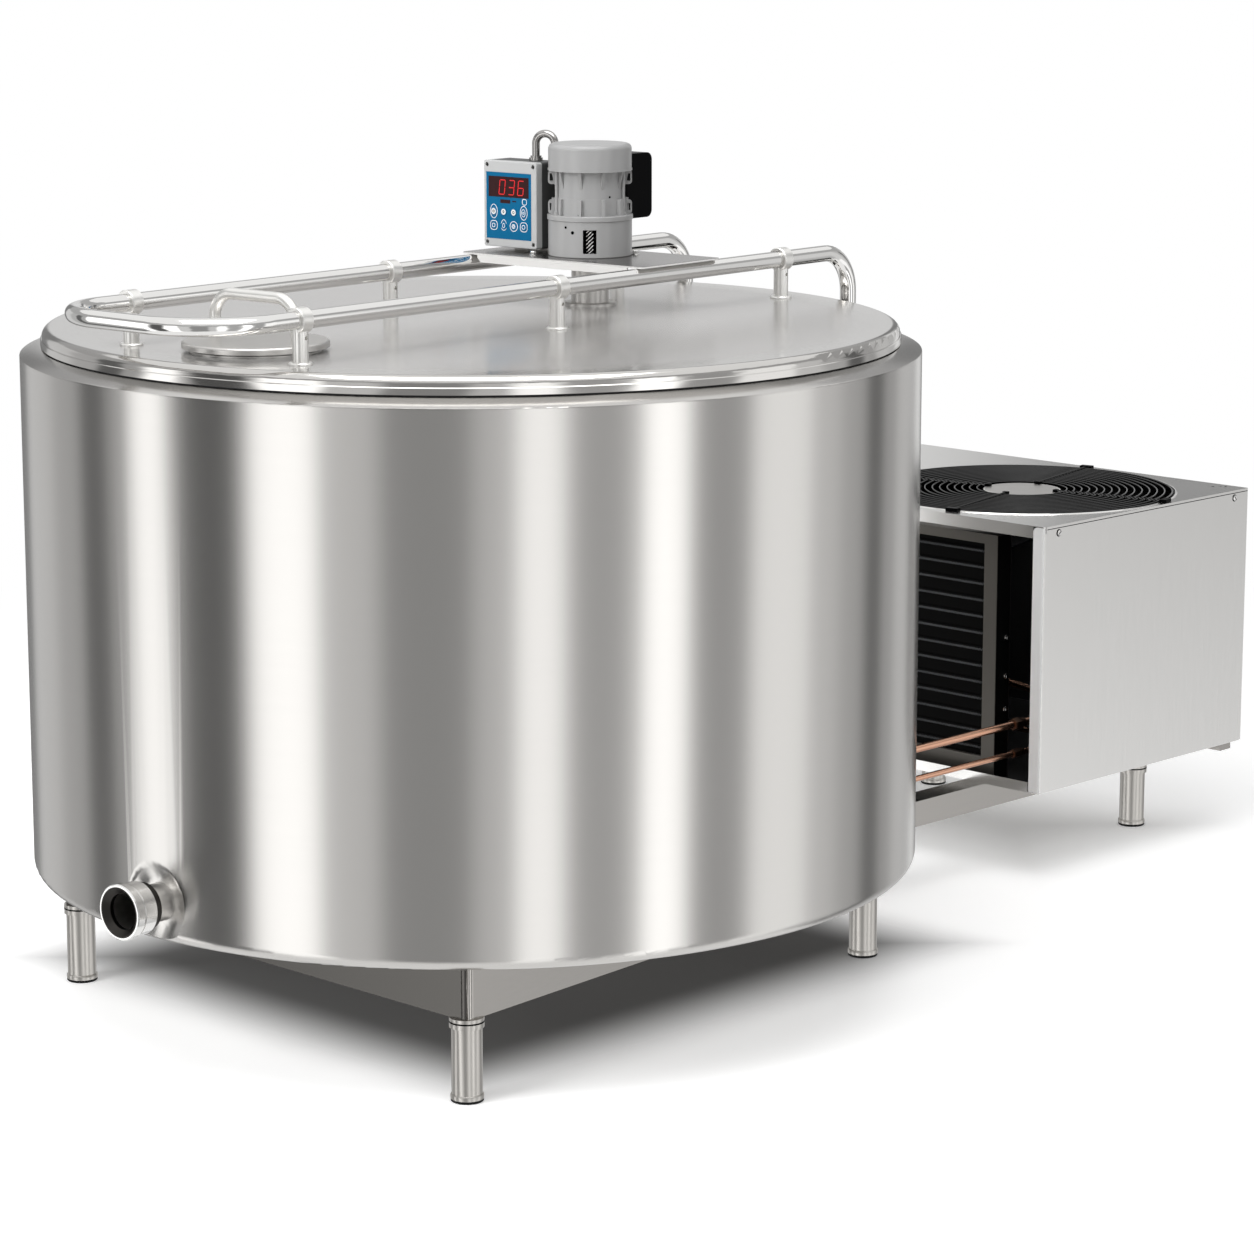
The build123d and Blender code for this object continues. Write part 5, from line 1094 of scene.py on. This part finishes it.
def add_panel_lines():
    """Slots of the side screws, shadow lines round them, and the joint line under the top's fold."""
    unit_low, unit_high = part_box("unit_panel_near")
    screw_low, screw_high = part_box("panel_screws")
    screw_z = (screw_low[2] + screw_high[2]) / 2
    screw_x = (screw_low[0] + 4.5 * MM, screw_high[0] - 4.5 * MM)
    # Each screw's slot stands at its own angle, as a driver leaves it
    slots = []
    for x, tilt in zip(screw_x, (math.radians(35), math.radians(-50))):
        for face, sign in ((screw_low[1], -1), (screw_high[1], 1)):
            points, faces = slab((-4.2 * MM, -0.25 * MM, -0.65 * MM), (4.2 * MM, 0.5 * MM, 0.65 * MM))
            turned = np.stack([points[:, 0] * math.cos(tilt) - points[:, 2] * math.sin(tilt),
                               points[:, 1] * -sign,
                               points[:, 0] * math.sin(tilt) + points[:, 2] * math.cos(tilt)], 1)
            slots.append((turned + np.array([x, face - sign * 0.05 * MM, screw_z]), faces))
    # The slots are black: painted shade in them
    add_piece("panel_screw_slots", slots, FINISH["black_abs"], "stand", False)
    lines = [slab((unit_low[0] + 8 * MM, unit_low[1] - 0.12 * MM, unit_high[2] - 5.4 * MM),
                  (unit_high[0] - 0.5 * MM, unit_low[1] + 0.1 * MM, unit_high[2] - 4.2 * MM))]
    ring = mm((4.4, 0), (6.1, 0), (6.1, 0.14), (4.4, 0.14))
    for x in screw_x:
        lines.append(lathe(ring, (x, unit_low[1], screw_z), (0, -1, 0), 32, True))
    add_piece("panel_lines", lines, FINISH["black_abs"], "stand", False)


def add_coil_side():
    """Black sheet along the coil frame's near side as painted shade, and its three bolts."""
    low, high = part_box("condenser_frame")
    bolts = []
    for z in COIL_BOLTS_Z:
        bolts += hex_bolt((low[0] + 26 * MM, low[1], z), (0, -1, 0), 7.0 * MM)
    side = slab((low[0] + 1.5 * MM, low[1] - 0.35 * MM, low[2] + 1 * MM),
                (high[0] - 1 * MM, low[1] + 0.05 * MM, high[2] - 1 * MM))
    add_piece("coil_side_shade", [side], FINISH["black_fins"], "stand", False, bevel=0.1 * MM)
    add_piece("condenser_bolts", bolts, FINISH["polished"], "stand", False)


def add_flare_nuts():
    """Flare nut and collar on each copper line, in proportion to the line's radius."""
    unit_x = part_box("unit_panel_near")[0][0]
    fittings = []
    for name, size in (("suction_line", 12.7), ("liquid_line", 9.5)):
        line_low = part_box(name)[0]
        r = size / 2 * MM
        spot = (unit_x + 3 * MM, line_low[1] + r, line_low[2] + r)
        nut = [(r * 0.9, 0), (r * 1.5, 0), (r * 1.7, 2 * MM), (r * 1.7, 15 * MM), (r * 1.5, 17 * MM),
               (r * 0.9, 17 * MM)]
        fittings.append(lathe(nut, spot, (1, 0, 0), 6, True))
        collar = [(r * 0.9, 0), (r * 1.35, 0), (r * 1.35, 9 * MM), (r * 0.9, 9 * MM)]
        fittings.append(lathe(collar, (spot[0] + 18 * MM, spot[1], spot[2]), (1, 0, 0), 24, True))
    add_piece("flare_nuts", fittings, FINISH["brass"], "stand", False)


def add_top_plugs():
    """Black plugs in the top panel's near right corner."""
    low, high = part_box("unit_panel_near")
    plugs = []
    for in_x, in_y, r in TOP_PLUGS:
        spot = (high[0] - in_x * MM, low[1] + in_y * MM, high[2])
        plugs.append(lathe(mm((0, 0), (r, 0), (r, 0.12), (0, 0.15)), spot, (0, 0, 1), 20))
    add_piece("top_plugs", plugs, FINISH["black_abs"], "stand", False)


class COOLER_OT_unit(bpy.types.Operator):
    """Add the condenser's fin lines, the unit's screws, bolts and pipe fittings"""

    bl_idname = "cooler.unit"
    bl_label = "Condensing unit details"

    def execute(self, context):
        add_fin_edges()
        add_panel_lines()
        add_coil_side()
        add_flare_nuts()
        add_top_plugs()
        return {"FINISHED"}


# Legs

class COOLER_OT_trim(bpy.types.Operator):
    """Add the rolled lip at the foot of each leg and a black ring round its collar, a painted shadow line"""

    bl_idname = "cooler.trim"
    bl_label = "Leg trim"

    def execute(self, context):
        points = node_points("foot_caps")
        legs = node_points("leg_tubes")
        # One centre for each foot: the middle of the points that lie near one spot of a coarse grid
        centres = []
        for spot in np.unique(np.round(points[:, :2] / 0.1).astype(int), axis=0) * 0.1:
            near = points[np.linalg.norm(points[:, :2] - spot, axis=1) < 0.12]
            centre = (near.min(0) + near.max(0)) / 2
            if all(np.linalg.norm(centre[:2] - other[:2]) > 0.02 for other in centres):
                centres.append(centre)
        top = points[:, 2].max()
        lip = mm((21.0, -3.8), (22.9, -3.8), (23.1, -1.4), (22.9, 1.6), (21.8, 3.0), (21.0, 3.0))
        line = mm((23.8, -2.2), (24.2, -2.2), (24.2, 0.0), (23.8, 0.0))
        lips = []
        collar_shadows = []
        for centre in centres:
            lips.append(lathe(lip, (centre[0], centre[1], top), (0, 0, 1), 48, True))
            near = legs[np.linalg.norm(legs[:, :2] - centre[:2], axis=1) < 0.03]
            collar = near[:, 2].max() - 5.0 * MM
            # A black ring near the collar: painted shadow
            collar_shadows.append(lathe(line, (centre[0], centre[1], collar), (0, 0, 1), 48, True))
        add_piece("leg_lips", lips, FINISH["leg_steel"], "stand", False)
        add_piece("leg_collar_shadows", collar_shadows, FINISH["black_abs"], "stand", False)
        return {"FINISHED"}


# Stage

# Camera: its place in metres, and the directions to its right and ahead of it
CAMERA_PLACE = (-4.34391, -4.10428, 1.65545)
CAMERA_RIGHT = Vector((0.695379, -0.718643, 0.0)).normalized()
CAMERA_AHEAD = Vector((0.704996, 0.682173, -0.193961)).normalized()

# Studio cards seen only in reflections: azimuth from the camera's side in degrees, half width, level
CARDS = (
    (-161, 8, 0.24), (-141, 9, 0.69), (-122, 7, 0.52), (-109, 6, 0.14), (-99, 3, 0.45),
    (-88, 6, 1.75), (-69, 9, 0.11), (-48, 9, 1.76), (-30, 6, 0.72), (-12, 11, 0.32),
    (4, 3, 0.66), (16, 6, 1.52), (31, 6, 0.46), (48, 6, 1.88), (64, 7, 0.42),
    (83, 10, 1.2), (99, 5, 0.74), (110, 5, 0.54), (121, 5, 0.14), (131, 3, 0.42),
    (140, 5, 0.66), (149, 4, 0.56), (157, 4, 0.85), (167, 4, 0.24), (180, 8, 0.72),
)
CARD_BASE = 0.62
CARD_RING_R = 40.0
# Heights of the ring's rows; the two upper ones are a grey gap between the cards and the ceiling
CARD_HEIGHTS = (-36.0, 11.5, 13.0, 25.0)
GAP_LEVEL = 0.45
FLOOR_R = 30.0
# Painted light: a pale glow on the floor outside the frame's and the unit's outlines
FLOOR_GLOW = 0.43
# Painted shadow below the frame: offset from the tank's middle, half size, where its edge starts and ends
FRAME_SHADE_OFFSET = (0.13, 0.08)
FRAME_SHADE_HALF = (0.43, 0.39)
FRAME_SHADE_EDGE = (-0.05, 0.18)
UNIT_SHADE_EDGE = (-0.3, 0.08)
# Distances from the middle between which the lit floor gives way to plain white
WHITE_RING = (1.7, 3.2)
# Softboxes: place, the point each faces, and size
TOP_BOX = ((-1.2, -1.0, 4.6), (0.0, 0.0, 0.5), (4.0, 3.0))
LEFT_BOX = ((-6.0, 0.8, 3.2), (0.0, 0.0, 0.6), (3.0, 3.0))


def card_levels(azimuth):
    """Brightness round the studio: the base level, moved to each card's level by a soft-edged window."""
    level = np.full_like(azimuth, CARD_BASE)
    for centre, half, target in CARDS:
        away = np.abs((azimuth - centre + 180) % 360 - 180)
        window = np.clip((half + 2 - away) / 4, 0, 1)
        window = window * window * (3 - 2 * window)
        level = level * (1 - window) + target * window
    return level


def stage_mesh(name, points, faces, material):
    mesh = bpy.data.meshes.new(name)
    mesh.from_pydata(points.tolist(), [], faces.tolist())
    mesh.materials.append(material)
    piece = bpy.data.objects.new(name, mesh)
    bpy.context.scene.collection.objects.link(piece)
    return piece


def camera_only(tree):
    """1 for camera, glossy and transmission rays, else 0."""
    path = node(tree, "ShaderNodeLightPath").outputs
    first = node(tree, "ShaderNodeMath", {"operation": "MAXIMUM"},
                 {0: path["Is Camera Ray"], 1: path["Is Glossy Ray"]})
    both = node(tree, "ShaderNodeMath", {"operation": "MAXIMUM"},
                {0: first.outputs[0], 1: path["Is Transmission Ray"]})
    return both.outputs[0]


def outside_box(tree, coords, middle, half, start, end):
    """Soft step from 0 to 1: the larger of |x - middle| - half, and the same in y, from start to end."""
    aside = node(tree, "ShaderNodeVectorMath", {"operation": "SUBTRACT"}, {0: coords, 1: (*middle, 0.0)})
    spread = node(tree, "ShaderNodeVectorMath", {"operation": "ABSOLUTE"}, {0: aside.outputs[0]})
    over = node(tree, "ShaderNodeVectorMath", {"operation": "SUBTRACT"},
                {0: spread.outputs[0], 1: (*half, 0.0)})
    parts = node(tree, "ShaderNodeSeparateXYZ", None, {0: over.outputs[0]})
    largest = node(tree, "ShaderNodeMath", {"operation": "MAXIMUM"},
                   {0: parts.outputs[0], 1: parts.outputs[1]})
    return node(tree, "ShaderNodeMapRange", {"interpolation_type": "SMOOTHSTEP"},
                {"Value": largest.outputs[0], "From Min": start, "From Max": end}).outputs["Result"]


def make_floor():
    """Round pale floor: lit near the object so it keeps the shadow, with a painted shadow below the frame
    and a painted glow outside it, plain white further out.
    """
    material, tree, output = new_material("Pale studio floor")
    coords = node(tree, "ShaderNodeTexCoord").outputs["Object"]
    centred = node(tree, "ShaderNodeVectorMath", {"operation": "LENGTH"}, {0: coords})
    # Distance out from the frame's outline: the floor's colour is painted darker below it, a painted shadow,
    # and pale from its edge outwards
    shade = (TANK_X + FRAME_SHADE_OFFSET[0], TANK_Y + FRAME_SHADE_OFFSET[1])
    below = outside_box(tree, coords, shade, FRAME_SHADE_HALF, *FRAME_SHADE_EDGE)
    tone = node(tree, "ShaderNodeMix", {"data_type": "RGBA"},
                {"Factor": below, "A": linear("#7C7C7C"), "B": linear("#F7F7F7")}).outputs["Result"]
    far = node(tree, "ShaderNodeMapRange", {"interpolation_type": "SMOOTHSTEP"},
               {"Value": centred.outputs["Value"], "From Min": WHITE_RING[0], "From Max": WHITE_RING[1]})
    lit = node(tree, "ShaderNodeBsdfDiffuse", None, {"Color": tone})
    white = node(tree, "ShaderNodeEmission", None, {"Color": (1.0, 1.0, 1.0, 1.0), "Strength": 1.0})
    seen = camera_only(tree)
    factor = node(tree, "ShaderNodeMath", {"operation": "MULTIPLY"}, {0: far.outputs["Result"], 1: seen})
    middle = ((UNIT_LO[0] + UNIT_HI[0]) / 2, (UNIT_LO[1] + UNIT_HI[1]) / 2)
    half = ((UNIT_HI[0] - UNIT_LO[0]) / 2, (UNIT_HI[1] - UNIT_LO[1]) / 2)
    # The painted glow stops at the unit's outline, so the shade under the unit stays
    glow_beyond_unit = outside_box(tree, coords, middle, half, *UNIT_SHADE_EDGE)
    least = node(tree, "ShaderNodeMath", {"operation": "MINIMUM"}, {0: below, 1: glow_beyond_unit})
    lift = node(tree, "ShaderNodeMath", {"operation": "MULTIPLY"}, {0: least.outputs[0], 1: seen})
    pale = node(tree, "ShaderNodeEmission", None,
                {"Color": (FLOOR_GLOW, FLOOR_GLOW, FLOOR_GLOW, 1.0), "Strength": lift.outputs[0]})
    near = node(tree, "ShaderNodeAddShader", None, {0: lit.outputs[0], 1: pale.outputs[0]})
    mix = node(tree, "ShaderNodeMixShader", None,
               {0: factor.outputs[0], 1: near.outputs[0], 2: white.outputs[0]})
    tree.links.new(mix.outputs[0], output.inputs["Surface"])
    turn = np.linspace(0, 2 * np.pi, 64, endpoint=False)
    points = np.stack([FLOOR_R * np.cos(turn), FLOOR_R * np.sin(turn), np.zeros_like(turn)], 1)
    floor = stage_mesh("studio_floor", points, np.arange(64)[None, :], material)
    floor.visible_glossy = False
    return floor


def make_cards():
    """A ring of studio cards round the object, with soft edges, seen only in reflections."""
    material, tree, output = new_material("Studio cards")
    level = node(tree, "ShaderNodeAttribute", {"attribute_name": "level"}).outputs["Fac"]
    glow = node(tree, "ShaderNodeEmission", None, {"Strength": level})
    tree.links.new(glow.outputs[0], output.inputs["Surface"])
    azimuth = np.arange(0, 360, 1.0)
    turn = np.radians(azimuth) + math.atan2(CAMERA_PLACE[1] - TANK_Y, CAMERA_PLACE[0] - TANK_X)
    ring = np.stack([TANK_X + CARD_RING_R * np.cos(turn), TANK_Y + CARD_RING_R * np.sin(turn)], 1)
    points = np.concatenate([np.column_stack([ring, np.full(360, height)]) for height in CARD_HEIGHTS])
    faces = grid_faces(len(CARD_HEIGHTS), 360, False, True)[:, ::-1]
    cards = stage_mesh("studio_cards", points, faces, material)
    values = card_levels((azimuth + 180) % 360 - 180)
    attribute = cards.data.attributes.new("level", "FLOAT", "POINT")
    levels = np.concatenate([values, values, np.full(720, GAP_LEVEL)])
    attribute.data.foreach_set("value", levels.astype(np.float32))
    cards.visible_camera = False
    cards.visible_diffuse = False
    cards.visible_shadow = False
    cards.visible_transmission = False
    return cards


def make_world():
    world = bpy.data.worlds.new("Even studio light")
    bpy.context.scene.world = world
    world.use_nodes = True
    tree = world.node_tree
    tree.nodes.clear()
    output = tree.nodes.new("ShaderNodeOutputWorld")
    even = node(tree, "ShaderNodeBackground", None,
                {"Color": (1.0, 1.0, 1.0, 1.0), "Strength": studio().sky_level})
    white = node(tree, "ShaderNodeBackground", None, {"Color": (1.0, 1.0, 1.0, 1.0), "Strength": 1.0})
    mix = node(tree, "ShaderNodeMixShader", None,
               {0: camera_only(tree), 1: even.outputs[0], 2: white.outputs[0]})
    tree.links.new(mix.outputs[0], output.inputs["Surface"])


def area_lamp(name, place, target, size, power):
    data = bpy.data.lights.new(name, "AREA")
    data.energy = power
    data.shape = "RECTANGLE"
    data.size, data.size_y = size
    lamp = bpy.data.objects.new(name, data)
    aim = (Vector(target) - Vector(place)).to_track_quat("-Z", "Y")
    lamp.matrix_world = Matrix.Translation(place) @ aim.to_matrix().to_4x4()
    bpy.context.scene.collection.objects.link(lamp)
    return lamp


def make_camera():
    data = bpy.data.cameras.new("Camera")
    data.lens = studio().lens
    data.sensor_width = 36.0
    data.sensor_fit = "HORIZONTAL"
    data.clip_end = 200.0
    camera = bpy.data.objects.new("Camera", data)
    up = CAMERA_RIGHT.cross(CAMERA_AHEAD)
    axes = Matrix((CAMERA_RIGHT, up, -CAMERA_AHEAD)).transposed().to_4x4()
    camera.matrix_world = Matrix.Translation(CAMERA_PLACE) @ axes
    bpy.context.scene.collection.objects.link(camera)
    bpy.context.scene.camera = camera


class COOLER_OT_stage(bpy.types.Operator):
    """Set up floor, studio cards, lamps, world and camera"""

    bl_idname = "cooler.stage"
    bl_label = "Studio stage"

    def execute(self, context):
        make_floor()
        make_cards()
        make_world()
        area_lamp("Overhead softbox", *TOP_BOX, studio().top_level)
        side = area_lamp("Left softbox", *LEFT_BOX, studio().side_level)
        side.visible_glossy = False
        make_camera()
        context.scene.view_settings.view_transform = "Standard"
        return {"FINISHED"}


class COOLER_PT_sidebar(bpy.types.Panel):
    """Lists the cooler's steps and their settings"""

    bl_idname = "COOLER_PT_sidebar"
    bl_label = "Milk Cooler"
    bl_space_type = "VIEW_3D"
    bl_region_type = "UI"
    bl_category = "Milk Cooler"

    def draw(self, context):
        for group in (context.scene.cooler_sizes, context.scene.cooler_colours, context.scene.cooler_studio):
            column = self.layout.column(align=True)
            for key in group.bl_rna.properties.keys():
                if key not in {"rna_type", "name"}:
                    column.prop(group, key)
        for operator in OPERATORS:
            self.layout.operator(operator.bl_idname)


OPERATORS = (COOLER_OT_finishes, COOLER_OT_panel, COOLER_OT_motor, COOLER_OT_guard, COOLER_OT_unit,
             COOLER_OT_trim, COOLER_OT_stage)
CLASSES = (CoolerSizes, CoolerColours, StudioSettings, *OPERATORS, COOLER_PT_sidebar)


def register():
    for cls in CLASSES:
        bpy.utils.register_class(cls)
    bpy.types.Scene.cooler_sizes = bpy.props.PointerProperty(type=CoolerSizes)
    bpy.types.Scene.cooler_colours = bpy.props.PointerProperty(type=CoolerColours)
    bpy.types.Scene.cooler_studio = bpy.props.PointerProperty(type=StudioSettings)


def unregister():
    del bpy.types.Scene.cooler_studio
    del bpy.types.Scene.cooler_colours
    del bpy.types.Scene.cooler_sizes
    for cls in reversed(CLASSES):
        bpy.utils.unregister_class(cls)


def main():
    register()
    bpy.ops.cooler.finishes()
    bpy.ops.cooler.panel()
    bpy.ops.cooler.motor()
    bpy.ops.cooler.guard()
    bpy.ops.cooler.unit()
    bpy.ops.cooler.trim()
    bpy.ops.cooler.stage()


if __name__ == "__main__":
    main()
